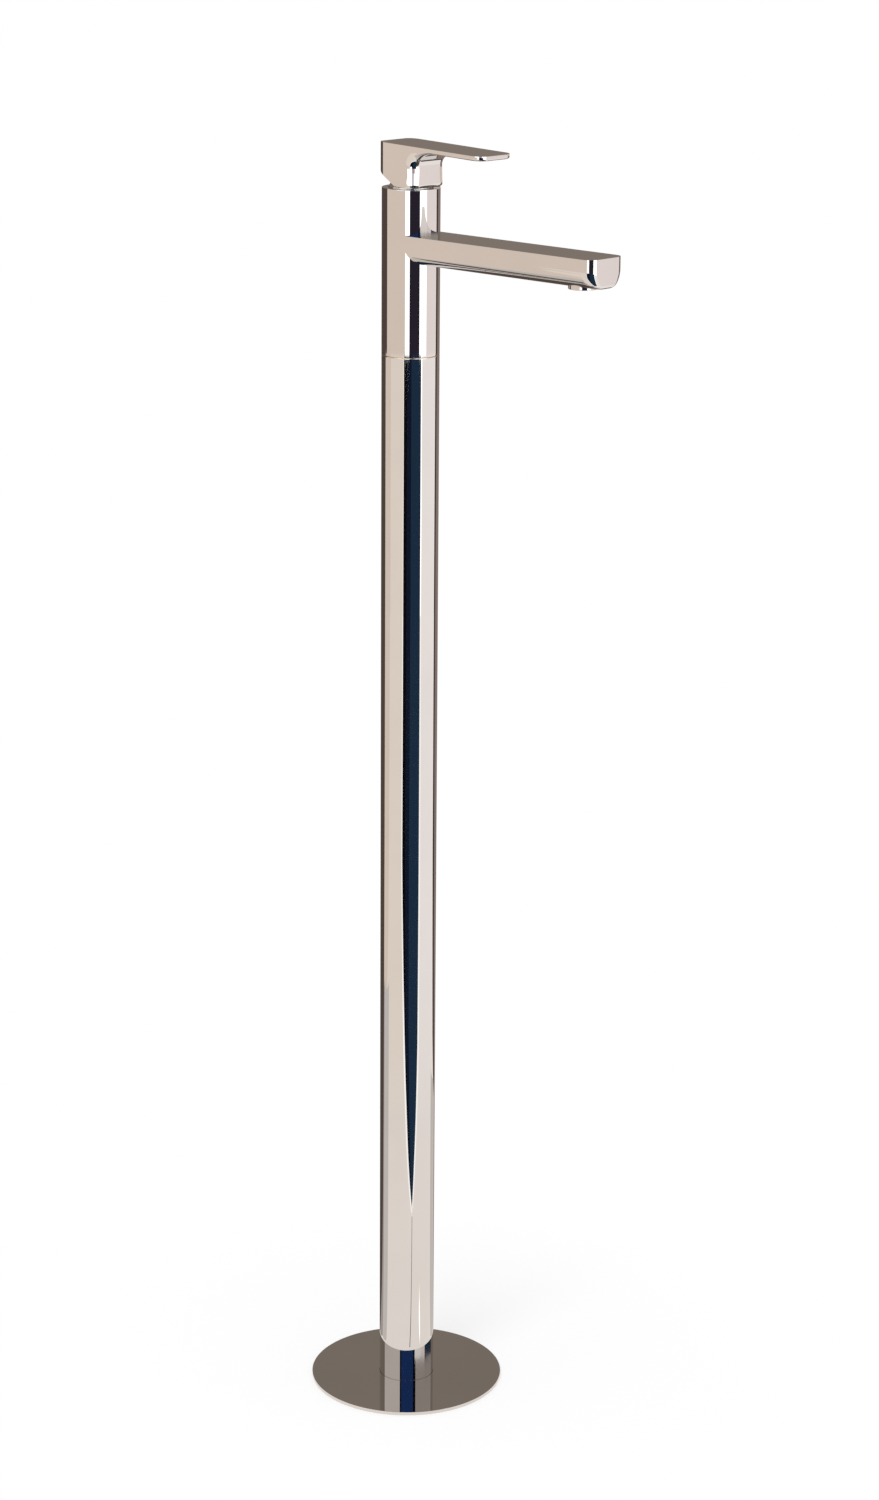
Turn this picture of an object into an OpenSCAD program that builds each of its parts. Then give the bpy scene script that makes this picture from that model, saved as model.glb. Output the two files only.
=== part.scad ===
// Floor-standing basin mixer: a slim column on a floor rose, a long level spout,
// and a single lever that swivels for temperature and lifts for flow.
// The origin is on the column's axis at floor level, +Z is up and the spout points to -Y.

/* [Column] */
// Outside diameter of the column and of the upper sleeve
column_d = 50; // [49:0.5:54]
// Wall of the column tube and of the sleeve
tube_wall = 2; // [1.6:0.1:2.4]
// Height of the joint line between column and sleeve
joint_z = 962; // [800:1:1100]
// Height of the shadow gap at the joint line
joint_gap = 0.5; // [0.3:0.1:1]
// Height of the sleeve above the joint line
sleeve_h = 142.5; // [130:0.5:180]
// Small chamfer on the polished rims
rim_chamfer = 0.4; // [0.2:0.1:0.8]

/* [Rose and foot] */
// Diameter of the floor rose
rose_d = 176; // [166:1:220]
// Width of the rose's rim where it stands on the floor
rose_rim = 11; // [8:0.5:20]
// Height of the rose
rose_h = 3; // [2.8:0.1:4]
// Thickness of the rose's sheet over the foot flange
rose_sheet = 0.8; // [0.6:0.1:1]
// Gap between the rose's rim and the foot flange
flange_clear = 2; // [1:0.5:5]
// Distance from the flange's edge to the circle of floor screws
screw_edge = 15; // [12:0.5:20]
// Diameter of a floor screw hole
screw_hole_d = 5.5; // [4.5:0.1:6]
// Number of floor screws
screw_count = 4; // [3:1:6]
// Depth of the countersink of a floor screw hole
countersink = 1.2; // [0.8:0.1:1.4]
// Length of the spigot that holds the column
foot_spigot = 60; // [50:1:90]

/* [Water inlets and hoses] */
// Core diameter of the three-eighths inlet threads
inlet_d = 14.95; // [14.5:0.05:15.2]
// Depth of the inlet threads
inlet_depth = 14; // [10:0.5:20]
// Distance between the two inlets
inlet_spacing = 22; // [21:0.5:23]
// Diameter of the waterways in foot and body
waterway_d = 8; // [6:0.5:9]
// Outside diameter of a braided hose
hose_d = 12; // [11:0.5:13]
// Diameter of the hose bore
hose_bore = 8; // [7:0.5:9]
// Size of the hose nuts across their flats
hose_nut_af = 19; // [18.5:0.5:20]

/* [Spout] */
// Width of the spout
spout_w = 43; // [40:0.5:46]
// Height of the spout
spout_h = 25; // [23:0.5:28]
// Reach of the spout from the column's axis
spout_reach = 222; // [180:1:260]
// Drop from the top of the sleeve to the top of the spout
spout_drop = 38.5; // [36:0.5:50]
// Radius of the upright corners at the spout's end
spout_corner_r = 10; // [6:0.5:12]
// Radius of the spout's long lower edges
spout_under_r = 15; // [10:0.5:16]
// Radius of the lower edge of the spout's end
spout_end_r = 3; // [1:0.5:4]
// Wall of the spout
spout_wall = 2.6; // [2:0.1:3]

/* [Aerator] */
// Distance from the spout's end to the aerator's axis
aerator_from_end = 27; // [20:0.5:35]
// Diameter of the aerator housing
aerator_d = 24; // [22:0.5:26]
// How far the aerator stands below the spout
aerator_drop = 2.4; // [1.5:0.1:4]

/* [Cartridge] */
// Diameter of the cartridge
cartridge_d = 35; // [34.5:0.1:35.2]
// Drop from the top of the sleeve to the lever's pivot
pivot_drop = 8.5; // [8:0.1:9.5]
// Length of the spindle's lower arm
ball_arm = 13; // [12.5:0.1:14]
// Diameter of the spindle's ball
ball_d = 6; // [5:0.1:7]
// Side of the spindle's square stem
stem_side = 8; // [7:0.1:8.4]
// Diameter of the pivot pin
pin_d = 4; // [3:0.1:5]
// Thickness of the fixed ceramic disc
fixed_disc_t = 4.5; // [3.5:0.1:5]
// Thickness of the moving ceramic disc
moving_disc_t = 4; // [3:0.1:5]

/* [Lever] */
// Width of the lever block and of its blade
lever_w = 42; // [41:0.5:46]
// Distance from the axis to the front of the block
lever_front = 22; // [21:0.5:24]
// Distance from the axis to the back of the block
lever_back = 21.5; // [21:0.5:24]
// Distance from the axis to the tip of the blade
lever_reach = 99; // [80:1:120]
// Gap between the sleeve and the lever at the axis
lever_gap = 2.3; // [2:0.1:4]
// Gap between the sleeve and the lever's front edge
front_gap = 0.7; // [0.5:0.1:2]
// Height of the lever from its bottom to its top at the axis
lever_h = 35.2; // [34:0.1:40]
// Thickness of the blade
blade_t = 4; // [3:0.1:6]
// Slope of the lever's top
top_slope = 2; // [0:0.5:3]
// Radius of the upright corners
lever_corner_r = 10; // [6:0.5:11]
// Thickness of the blade where it springs from the block
blade_root_t = 11; // [9:0.1:13]
// Radius of the tight curve from the block's front to the blade's root
lever_fillet_r = 7.5; // [3:0.5:9]
// How far the tight curve turns from upright
fillet_turn = 55; // [45:1:60]
// Radius of the block's lower front edge
lever_edge_r = 3.5; // [1:0.5:4]
// Rise of the block's underside behind the axis
back_rise = 32; // [28:1:34]
// Lean of the block's back face
back_lean = 2.4; // [0:0.1:4]
// How far the lever lifts
lift_deg = 25; // [20:1:26]
// Diameter of the grub screws
grub_d = 5; // [4:0.5:5]

/* [Fits] */
// Gap all round a spigot in its tube
spigot_gap = 0.1; // [0.05:0.01:0.2]
// Gap between the rose and what it slides over
rose_gap = 0.2; // [0.1:0.05:0.4]
// Gap of a turning fit
running_gap = 0.05; // [0.02:0.01:0.09]
// Gap of a piece that is screwed or pushed home
seat_gap = 0.05; // [0.02:0.01:0.1]
// Gap between the spindle's ball and its socket
ball_gap = 0.2; // [0.15:0.01:0.3]
// Gap between the dome and the lever's hollow
dome_gap = 0.6; // [0.4:0.1:0.8]

/* [Hidden] */
$fn = 96;
eps = 0.01;
past = 1;

column_r = column_d / 2;
bore_r = column_r - tube_wall;
spigot_r = bore_r - spigot_gap;

// foot
flange_t = rose_h - rose_sheet - rose_gap;
flange_r = rose_d / 2 - rose_rim - flange_clear;
screw_circle_r = flange_r - screw_edge;
spigot_top = flange_t + foot_spigot;
foot_nipple_d = 16.6;
foot_nipple_h = 12;
foot_nipple_top = spigot_top + foot_nipple_h;
foot_ring_z = [flange_t + 10, spigot_top - 10];
foot_screw_z = flange_t + 22;
foot_screw_angles = [65, 115];
screw_head_d = screw_hole_d + 2 * countersink;
inlet_x = inlet_spacing / 2;

// rings of round section, and the grooves that hold them
ring_d = 1.8;
ring_lift = 0.02;
groove_w = 2.4;
big_ring_r = bore_r - ring_lift - ring_d / 2;
big_groove_r = big_ring_r - ring_d / 2 - ring_lift;

// joint line
column_top = joint_z - joint_gap / 2;
sleeve_bottom = joint_z + joint_gap / 2;
sleeve_top = joint_z + sleeve_h;
seam_depth = 0.7;
seam_r = column_r - seam_depth;

// hoses
gasket_t = 1.6;
tail_collar_t = 2.5;
nut_wall = 2;
nut_overlap = foot_nipple_h - 2;
nut_bottom = foot_nipple_top - nut_overlap;
nut_roof = foot_nipple_top + gasket_t + tail_collar_t + seat_gap;
nut_top = nut_roof + nut_wall;
nut_bore_r = foot_nipple_d / 2 + seat_gap;
gasket_r = foot_nipple_d / 2 - 0.4;
tail_neck_r = hose_bore / 2 + 1;
barb_len = 20;
barb_bore_r = hose_bore / 2 - 1;
ferrule_wall = 1;
ferrule_len = 22;
hose_bottom = nut_top + 1.5;
casting_below = 28;
casting_bottom = column_top - casting_below;
tail_thread_r = 5;
tail_thread_len = 12;
tail_hex_af = 13;
tail_hex_h = 8;
tail_hex_top = casting_bottom - 4;
tail_hex_bottom = tail_hex_top - tail_hex_h;
hose_top = tail_hex_bottom - 1.5;
tail_ring_seat = 2.2;
tail_ring_r = tail_thread_r + ring_d / 2 + ring_lift;

// spout
spout_top = sleeve_top - spout_drop;
spout_bottom = spout_top - spout_h;
channel_z = spout_top - spout_h / 2;
channel_r = 5;
nipple_r = 8;
nipple_in = 11;
nipple_out = 11;
root_wall = nipple_out + 2;
end_gap = 0.2;
nipple_ring_in = 4;
nipple_ring_r = nipple_r - ring_lift - ring_d / 2;
nipple_groove_r = nipple_ring_r - ring_d / 2 - ring_lift;
dowel_r = 2;
dowel_x = 13;
dowel_depth = 8;

// aerator
aerator_y = -(spout_reach - aerator_from_end);
aerator_r = aerator_d / 2;
aerator_seat = 9;
aerator_ceiling = 2;
aerator_washer_t = 1.4;
aerator_bottom = spout_bottom - aerator_drop;
aerator_top = spout_bottom + aerator_seat - aerator_washer_t;
aerator_bore_r = aerator_r - 2;
aerator_lip = 1.2;
aerator_boss_wall = 2;
outlet_r = aerator_r - 4;

// cartridge, measured from the pivot downwards
lip_t = 3;
neck_r = 19.25;
lip_bore_r = neck_r + 0.35;
casting_top = sleeve_top - lip_t;
pivot_z = sleeve_top - pivot_drop;
stem_lean = lift_deg / 2;
ball_r = ball_d / 2;
pin_r = pin_d / 2;
carrier_floor = 1.2;
carrier_bottom = pivot_z - ball_arm - ball_r - ball_gap - carrier_floor;
carrier_top = pivot_z - ball_arm + ball_r - 0.5;
disc_gap = 0.05;
moving_disc_bottom = carrier_bottom - moving_disc_t;
fixed_disc_top = moving_disc_bottom - disc_gap;
fixed_disc_bottom = fixed_disc_top - fixed_disc_t;
base_t = 6;
seat_z = fixed_disc_bottom - base_t;
cartridge_r = cartridge_d / 2;
housing_bore_r = cartridge_r - 1.8;
disc_travel = ball_arm * sin(stem_lean);
moving_disc_r = housing_bore_r - disc_travel - 0.4;
carrier_half_w = moving_disc_r - 0.6;
port_r = 3.2;
inlet_port = [8.5, -4.5];
outlet_port_y = 7.5;
outlet_port_r = 4;
port_ring_r = port_r + 1;
outlet_ring_r = outlet_port_r + 1;
peg_r = 1.8;
peg_h = 2.5;
peg_place = [11.5, 7.5];

// rotor, housing neck and retaining nut
rotor_r = 12;
rotor_flange_r = housing_bore_r - 0.8;
rotor_bottom = carrier_top + 0.4;
shoulder_t = 2;
rotor_flange_top = rotor_bottom + 3.5;
shoulder_bottom = rotor_flange_top + disc_gap;
shoulder_top = shoulder_bottom + shoulder_t;
housing_neck_r = rotor_r + running_gap + 2.2;
housing_top = casting_top - 2;
rotor_top = pivot_z + 6;
slot_half_x = stem_side / 2 + 0.6;
slot_half_y = 7;
hub_r = 5.2;
hub_half = slot_half_x - 0.1;
pin_half = rotor_r - 1;
arm_r = 2.2;
nut_r = 20;
nut_collar_r = neck_r - 1 - seat_gap;
nut_thread_top = casting_top - 3.5;
nut_inner_r = housing_neck_r + 0.2;

// dome and lever
dome_r = 21.2;
dome_wall = 1.2;
dome_hole_r = 13;
hollow_r = dome_r + dome_gap;
lever_bottom = sleeve_top + lever_gap;
lever_low = sleeve_top + front_gap;
lever_top = lever_bottom + lever_h;
slope_rise = tan(top_slope);
// the sweep from the block to the blade: a tight curve, then a gentle one that runs
// a little way into the blade
blend_in = 0.2;
flat_turn = 90 + top_slope;
sweep_climb = sin(flat_turn) - sin(fillet_turn)
    - slope_rise * (cos(flat_turn) - cos(fillet_turn));
sweep_r = (blade_root_t - blade_t + blend_in) / sweep_climb;
sweep_out = lever_fillet_r + (sweep_r - lever_fillet_r) * cos(fillet_turn);
sweep_drop = (sweep_r - lever_fillet_r) * sin(fillet_turn);
sweep_base = top_at(-lever_front - lever_fillet_r * (1 - cos(fillet_turn))) - blade_root_t
    - lever_fillet_r * sin(fillet_turn);
sweep_high = top_at(-lever_front - sweep_out) - blade_t / 2 - sweep_base;
back_foot = lever_bottom + lever_back * tan(back_rise);
core_wall = 4;
core_roof = 4.5;
core_corner_r = lever_corner_r - core_wall;
core_floor = 3.2;
core_bottom = lever_bottom + (lever_back - core_wall) * tan(back_rise) + core_floor;
throat_r = 13;
boss_r = stem_side / 2 + 3.5;
boss_start = 18;
stem_top = 36;
socket_top = stem_top + 0.5;
screw_up = 27;
grub_r = grub_d / 2;
grub_len = 8;
rib_half = grub_r + 2.5;
plug_r = grub_r + 1;
plug_depth = 3.5;

// sleeve and casting
casting_ring_z = [casting_bottom + 6, joint_z + 8];
casting_screw_z = [casting_bottom + 16, joint_z + 15];
waist_bottom = joint_z + 22;
waist_top = spout_bottom - 8;
waist_r = inlet_x + waterway_d / 2 + 3;
grub_tail = 1.2;

// general shapes

module disc(r, z0, z1) {
    translate([0, 0, z0]) cylinder(r = r, h = z1 - z0);
}

module tube(r, bore, z0, z1) {
    difference() {
        disc(r, z0, z1);
        disc(bore, z0 - past, z1 + past);
    }
}

// a ring of round section that lies flat at height z
module o_ring(r, z) {
    translate([0, 0, z]) rotate_extrude() translate([r, 0]) circle(d = ring_d, $fn = 32);
}

module groove(r_out, r_in, z) {
    tube(r_out + past, r_in, z - groove_w / 2, z + groove_w / 2);
}

// a tube with a small chamfer outside at both ends
module polished_tube(r, bore, z0, z1) {
    c = rim_chamfer;
    rotate_extrude() polygon([[bore, z0], [r - c, z0], [r, z0 + c], [r, z1 - c], [r - c, z1],
        [bore, z1]]);
}

// places the children at both sides of the axis
module at_both_inlets() {
    for (side = [-1, 1]) translate([side * inlet_x, 0, 0]) children();
}

module hexagon(af, z0, z1) {
    translate([0, 0, z0]) rotate(30) cylinder(d = af / cos(30), h = z1 - z0, $fn = 6);
}

// a bar along +Y that starts at y0 and ends at y1
module bar_y(r, y0, y1) {
    translate([0, y0, 0]) rotate([-90, 0, 0]) cylinder(r = r, h = y1 - y0);
}

// a grub screw along +Y with a hexagon socket in its outer end
module grub_screw(y0, y1) {
    socket_af = grub_d / 2;
    socket_depth = 2.5;
    difference() {
        bar_y(grub_r - seat_gap, y0, y1);
        translate([0, y1 - socket_depth, 0]) rotate([-90, 0, 0])
            cylinder(d = socket_af / cos(30), h = socket_depth + past, $fn = 6);
    }
}

// the places of the screws that lock column and sleeve, at the back
module at_casting_screws() {
    for (z = casting_screw_z) translate([0, 0, z]) children();
}

module at_foot_screws() {
    for (a = foot_screw_angles) rotate(a - 90) translate([0, 0, foot_screw_z]) children();
}

// foot and column

module rose() {
    c = rim_chamfer;
    r = rose_d / 2;
    hole = column_r + rose_gap;
    recess = flange_r + flange_clear;
    under = rose_h - rose_sheet;
    color("silver") rotate_extrude() polygon([[hole, under], [recess, under], [recess, 0],
        [r, 0], [r, rose_h - c], [r - c, rose_h], [hole, rose_h]]);
}

// the plate on the floor, with countersunk screw holes
module floor_flange() {
    color("lightgray") difference() {
        tube(flange_r, spigot_r + seat_gap, 0, flange_t);
        for (i = [0 : screw_count - 1]) rotate(45 + i * 360 / screw_count)
            translate([screw_circle_r, 0, 0]) {
                disc(screw_hole_d / 2, -past, flange_t + past);
                translate([0, 0, flange_t - countersink])
                    cylinder(d1 = screw_hole_d, d2 = screw_head_d, h = countersink + eps);
            }
    }
}

// the casting that is brazed into the plate; it carries the column and takes the supplies
module foot_spigot() {
    color("darkgoldenrod") difference() {
        union() {
            disc(spigot_r, 0, spigot_top);
            at_both_inlets() disc(foot_nipple_d / 2, spigot_top - eps, foot_nipple_top);
        }
        for (z = foot_ring_z) groove(spigot_r, big_groove_r, z);
        at_both_inlets() {
            disc(inlet_d / 2, -past, inlet_depth);
            disc(waterway_d / 2, 0, foot_nipple_top + past);
        }
        at_foot_screws() bar_y(grub_r, column_r - grub_len - grub_tail, column_r);
    }
}

module foot_o_rings() {
    color("black") for (z = foot_ring_z) o_ring(big_ring_r, z);
}

module foot_screws() {
    color("dimgray") at_foot_screws() grub_screw(column_r - grub_len, column_r - 0.3);
}

module column_tube() {
    color("silver") difference() {
        polished_tube(column_r, bore_r, flange_t, column_top);
        at_foot_screws() bar_y(grub_r, column_r - 2 * tube_wall, column_r + past);
        translate([0, 0, casting_screw_z[0]])
            bar_y(grub_r, column_r - 2 * tube_wall, column_r + past);
    }
}

// hoses

module lower_hose_nuts() {
    color("gold") at_both_inlets() difference() {
        hexagon(hose_nut_af, nut_bottom, nut_top);
        disc(nut_bore_r, nut_bottom - past, nut_roof);
        disc(tail_neck_r + 0.3, nut_bottom, nut_top + past);
    }
}

module lower_hose_gaskets() {
    color("black") at_both_inlets()
        tube(gasket_r, waterway_d / 2 + 0.5, foot_nipple_top, foot_nipple_top + gasket_t);
}

module lower_hose_tails() {
    z0 = foot_nipple_top + gasket_t;
    color("goldenrod") at_both_inlets() difference() {
        union() {
            disc(gasket_r, z0, z0 + tail_collar_t);
            disc(tail_neck_r, z0, hose_bottom);
            disc(hose_bore / 2 - seat_gap, z0, hose_bottom + barb_len);
        }
        disc(barb_bore_r, z0 - past, hose_bottom + barb_len + past);
    }
}

module hose() {
    color("lightslategray") tube(hose_d / 2, hose_bore / 2, hose_bottom, hose_top);
}

module hot_hose() {
    translate([-inlet_x, 0, 0]) hose();
}

module cold_hose() {
    translate([inlet_x, 0, 0]) hose();
}

module hose_ferrules() {
    r = hose_d / 2 + seat_gap;
    color("lightgray") at_both_inlets() {
        tube(r + ferrule_wall, r, hose_bottom, hose_bottom + ferrule_len);
        tube(r + ferrule_wall, r, hose_top - ferrule_len, hose_top);
    }
}

module upper_hose_tails() {
    z0 = hose_top - barb_len;
    z1 = casting_bottom + tail_thread_len;
    color("goldenrod") at_both_inlets() difference() {
        union() {
            disc(hose_bore / 2 - seat_gap, z0, hose_top + eps);
            disc(tail_neck_r, hose_top, tail_hex_bottom + eps);
            hexagon(tail_hex_af, tail_hex_bottom, tail_hex_top);
            disc(tail_thread_r - seat_gap, tail_hex_top - eps, z1);
        }
        disc(barb_bore_r, z0 - past, z1 + past);
    }
}

module hose_tail_o_rings() {
    color("black") at_both_inlets()
        o_ring(tail_ring_r, casting_bottom + tail_ring_seat - ring_d / 2 - ring_lift);
}

// body

module valve_body() {
    inlet_top = seat_z - 2;
    port_bottom = channel_z + channel_r + 1;
    color("goldenrod") difference() {
        union() {
            disc(spigot_r, casting_bottom, casting_top);
            disc(seam_r, column_top, sleeve_bottom);
        }
        tube(column_r, waist_r, waist_bottom, waist_top);
        for (z = casting_ring_z) groove(spigot_r, big_groove_r, z);
        at_casting_screws() bar_y(grub_r, column_r - grub_len - grub_tail, column_r);
        at_both_inlets() {
            disc(tail_ring_r + ring_d / 2 + ring_lift, casting_bottom - past,
                casting_bottom + tail_ring_seat);
            disc(tail_thread_r, casting_bottom - past, casting_bottom + tail_thread_len + 2);
            disc(waterway_d / 2, casting_bottom, inlet_top);
        }
        for (side = [-1, 1]) translate([side * inlet_port[0], inlet_port[1], 0])
            disc(port_r, port_bottom, seat_z + past);
        translate([0, outlet_port_y, 0]) disc(outlet_port_r, channel_z, seat_z + past);
        translate([0, 0, channel_z]) {
            bar_y(channel_r, -column_r, outlet_port_y);
            bar_y(nipple_r, -column_r, -column_r + tube_wall + nipple_in);
            for (side = [-1, 1]) translate([side * dowel_x, 0, 0])
                bar_y(dowel_r, -column_r, -column_r + tube_wall + dowel_depth);
        }
        disc(cartridge_r + spigot_gap, seat_z, casting_top + past);
        disc(nut_r, shoulder_top, casting_top + past);
        for (side = [-1, 1]) translate([side * peg_place[0], peg_place[1], 0])
            disc(peg_r + seat_gap, seat_z - peg_h - 0.3, seat_z + past);
    }
}

module body_o_rings() {
    color("black") for (z = casting_ring_z) o_ring(big_ring_r, z);
}

module body_screws() {
    color("dimgray") at_casting_screws() grub_screw(column_r - grub_len, column_r - 0.3);
}

module body_shell() {
    color("silver") difference() {
        union() {
            polished_tube(column_r, bore_r, sleeve_bottom, sleeve_top);
            tube(bore_r + eps, lip_bore_r, casting_top, sleeve_top);
        }
        translate([0, 0, casting_screw_z[1]])
            bar_y(grub_r, column_r - 2 * tube_wall, column_r + past);
        translate([0, 0, channel_z]) {
            bar_y(nipple_r + seat_gap, -column_r - past, 0);
            for (side = [-1, 1]) translate([side * dowel_x, 0, 0])
                bar_y(dowel_r + seat_gap, -column_r - past, 0);
        }
    }
}

// spout

// section across the spout, with its flat top at y = 0
module spout_section(w, h, r) {
    translate([-w / 2, r - h]) square([w, h - r]);
    translate([r - w / 2, -h]) square([w - 2 * r, h]);
    for (side = [0, 1]) mirror([side, 0]) intersection() {
        translate([w / 2 - r, r - h]) circle(r);
        translate([w / 2 - r, -h]) square([r, r + eps]);
    }
}

// outline of the spout from above, with round corners at its end
module spout_plan(w, reach, r) {
    translate([-w / 2, -(reach - r)]) square([w, reach - r]);
    translate([r - w / 2, -reach]) square([w - 2 * r, reach]);
    for (side = [-1, 1]) translate([side * (w / 2 - r), -(reach - r)]) circle(r);
}

// the spout seen from the side, with its lower end edge rounded
module spout_side(reach, h, r) {
    translate([-(reach - r), -h]) square([reach - r, h]);
    translate([-reach, r - h]) square([reach, h - r]);
    translate([-(reach - r), r - h]) circle(r);
}

// extrudes a drawing of Y and Z sideways, as wide as w
module sideways(w) {
    translate([-w / 2, 0, 0]) rotate([90, 0, 90]) linear_extrude(w) children();
}

module spout_solid(inset, reach) {
    w = spout_w - 2 * inset;
    h = spout_h - 2 * inset;
    translate([0, 0, spout_top - inset]) intersection() {
        rotate([90, 0, 0]) linear_extrude(reach) spout_section(w, h, spout_under_r - inset);
        translate([0, 0, -h - past]) linear_extrude(h + 2 * past)
            spout_plan(w, reach, spout_corner_r - inset);
        sideways(w + 2 * past) spout_side(reach, h, max(spout_end_r - inset, 0.5));
    }
}

module spout() {
    hollow_start = column_r + root_wall;
    color("silver") difference() {
        spout_solid(0, spout_reach);
        difference() {
            spout_solid(spout_wall, spout_reach - spout_wall);
            translate([-spout_w, -hollow_start, spout_bottom])
                cube([2 * spout_w, hollow_start + past, spout_h]);
            translate([0, aerator_y, 0])
                disc(aerator_r + aerator_boss_wall, spout_bottom,
                    spout_bottom + aerator_seat + aerator_ceiling);
        }
        disc(column_r + seat_gap / 2, spout_bottom - past, spout_top + past);
        translate([0, 0, channel_z]) {
            bar_y(nipple_r, -(column_r + nipple_out), 0);
            bar_y(channel_r, -(hollow_start + past), 0);
            for (side = [-1, 1]) translate([side * dowel_x, 0, 0])
                bar_y(dowel_r, -(column_r + dowel_depth), 0);
        }
        translate([0, aerator_y, 0]) {
            disc(aerator_r, spout_bottom - past, spout_bottom + aerator_seat);
            disc(outlet_r, spout_bottom, spout_bottom + aerator_seat + aerator_ceiling + past);
        }
    }
}

module spout_nipple() {
    y0 = -(column_r + nipple_out - end_gap);
    y1 = -(column_r - tube_wall - nipple_in + end_gap);
    color("goldenrod") translate([0, 0, channel_z]) difference() {
        bar_y(nipple_r - seat_gap, y0, y1);
        bar_y(channel_r, y0 - past, y1 + past);
        for (y = [y0 + nipple_ring_in, y1 - nipple_ring_in]) translate([0, y, 0])
            rotate([-90, 0, 0]) groove(nipple_r, nipple_groove_r, 0);
    }
}

module nipple_o_rings() {
    y0 = -(column_r + nipple_out - end_gap);
    y1 = -(column_r - tube_wall - nipple_in + end_gap);
    color("black") for (y = [y0 + nipple_ring_in, y1 - nipple_ring_in])
        translate([0, y, channel_z]) rotate([-90, 0, 0]) o_ring(nipple_ring_r, 0);
}

module spout_pins() {
    y0 = -(column_r + dowel_depth - end_gap);
    y1 = -(column_r - tube_wall - dowel_depth + end_gap);
    color("gray") for (side = [-1, 1]) translate([side * dowel_x, 0, channel_z])
        bar_y(dowel_r - seat_gap / 2, y0, y1);
}

// aerator

module aerator_housing() {
    c = rim_chamfer;
    r = aerator_r - seat_gap;
    lip_top = aerator_bottom + aerator_lip;
    color("silver") translate([0, aerator_y, 0]) rotate_extrude()
        polygon([[aerator_bore_r - 1.5, aerator_bottom], [r - 2 * c, aerator_bottom],
            [r, aerator_bottom + 2 * c], [r, aerator_top], [aerator_bore_r, aerator_top],
            [aerator_bore_r, lip_top], [aerator_bore_r - 1.5, lip_top]]);
}

module aerator_insert() {
    r = aerator_bore_r - seat_gap;
    z0 = aerator_bottom + aerator_lip;
    cell = 2.4;
    rib = 0.7;
    cells = 6;
    color("whitesmoke") translate([0, aerator_y, 0]) difference() {
        disc(r, z0, aerator_top);
        intersection() {
            disc(r - 1.2, z0 - past, aerator_top + past);
            for (i = [-cells / 2 : cells / 2], j = [-cells / 2 : cells / 2])
                translate([i * cell - (cell - rib) / 2, j * cell - (cell - rib) / 2, z0 - past])
                    cube([cell - rib, cell - rib, aerator_top - z0 + 2 * past]);
        }
    }
}

module aerator_washer() {
    color("black") translate([0, aerator_y, 0])
        tube(aerator_r - 0.3, outlet_r, aerator_top, aerator_top + aerator_washer_t);
}

// cartridge

module ports(r, r_out, z0, z1) {
    for (side = [-1, 1]) translate([side * inlet_port[0], inlet_port[1], 0]) disc(r, z0, z1);
    translate([0, outlet_port_y, 0]) disc(r_out, z0, z1);
}

module cartridge_base() {
    z1 = seat_z + base_t;
    color("white") difference() {
        union() {
            disc(cartridge_r, seat_z, z1);
            for (side = [-1, 1]) translate([side * peg_place[0], peg_place[1], 0])
                disc(peg_r, seat_z - peg_h, seat_z + eps);
        }
        ports(port_r, outlet_port_r, seat_z - past, z1 + past);
        ports(port_ring_r + ring_d / 2 + ring_lift, outlet_ring_r + ring_d / 2 + ring_lift,
            seat_z - eps, seat_z + ring_d);
    }
}

module cartridge_seals() {
    z = seat_z + ring_d / 2;
    color("black") {
        for (side = [-1, 1]) translate([side * inlet_port[0], inlet_port[1], 0])
            o_ring(port_ring_r, z);
        translate([0, outlet_port_y, 0]) o_ring(outlet_ring_r, z);
    }
}

module fixed_disc() {
    color("ivory") difference() {
        disc(housing_bore_r - 0.2, fixed_disc_bottom, fixed_disc_top);
        ports(port_r, outlet_port_r, fixed_disc_bottom - past, fixed_disc_top + past);
    }
}

module moving_disc() {
    recess_r = 4.2;
    recess_x = 4.8;
    recess_h = moving_disc_t / 2;
    color("ivory") translate([0, disc_travel, 0]) difference() {
        disc(moving_disc_r, moving_disc_bottom, carrier_bottom);
        for (x = [-recess_x, 0, recess_x]) translate([x, outlet_port_y - disc_travel - 1.4, 0])
            disc(recess_r, moving_disc_bottom - past, moving_disc_bottom + recess_h);
    }
}

module disc_carrier() {
    color("dimgray") translate([0, disc_travel, 0]) difference() {
        intersection() {
            disc(moving_disc_r, carrier_bottom, carrier_top);
            translate([-carrier_half_w, -cartridge_d, carrier_bottom])
                cube([2 * carrier_half_w, 2 * cartridge_d, carrier_top - carrier_bottom]);
        }
        disc(ball_r + ball_gap, carrier_bottom + carrier_floor, carrier_top + past);
    }
}

module cartridge_housing() {
    color("white") difference() {
        union() {
            disc(cartridge_r, seat_z + base_t, shoulder_top);
            disc(housing_neck_r, shoulder_top - eps, housing_top);
        }
        disc(housing_bore_r, seat_z + base_t - past, shoulder_bottom);
        disc(rotor_r + running_gap, seat_z + base_t, housing_top + past);
    }
}

module retaining_nut() {
    slot_w = 4;
    color("gold") difference() {
        union() {
            disc(nut_r - seat_gap, shoulder_top, nut_thread_top);
            disc(nut_collar_r, shoulder_top, casting_top);
        }
        disc(nut_inner_r, shoulder_top - past, casting_top + past);
        for (a = [0, 90]) rotate(a) translate([-nut_r, -slot_w / 2, casting_top - 2])
            cube([2 * nut_r, slot_w, 2 + past]);
    }
}

module dome_cover() {
    skirt_bottom = nut_thread_top + 0.2 - pivot_z;
    rim = sqrt(pow(dome_r, 2) - pow(dome_hole_r, 2));
    color("silver") translate([0, 0, pivot_z]) difference() {
        intersection() {
            sphere(dome_r);
            disc(neck_r, skirt_bottom, rim);
        }
        intersection() {
            sphere(dome_r - dome_wall);
            disc(neck_r - 1, skirt_bottom - past, dome_r);
        }
        disc(dome_hole_r, 0, dome_r);
    }
}

// rotor, spindle and lever

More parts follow.
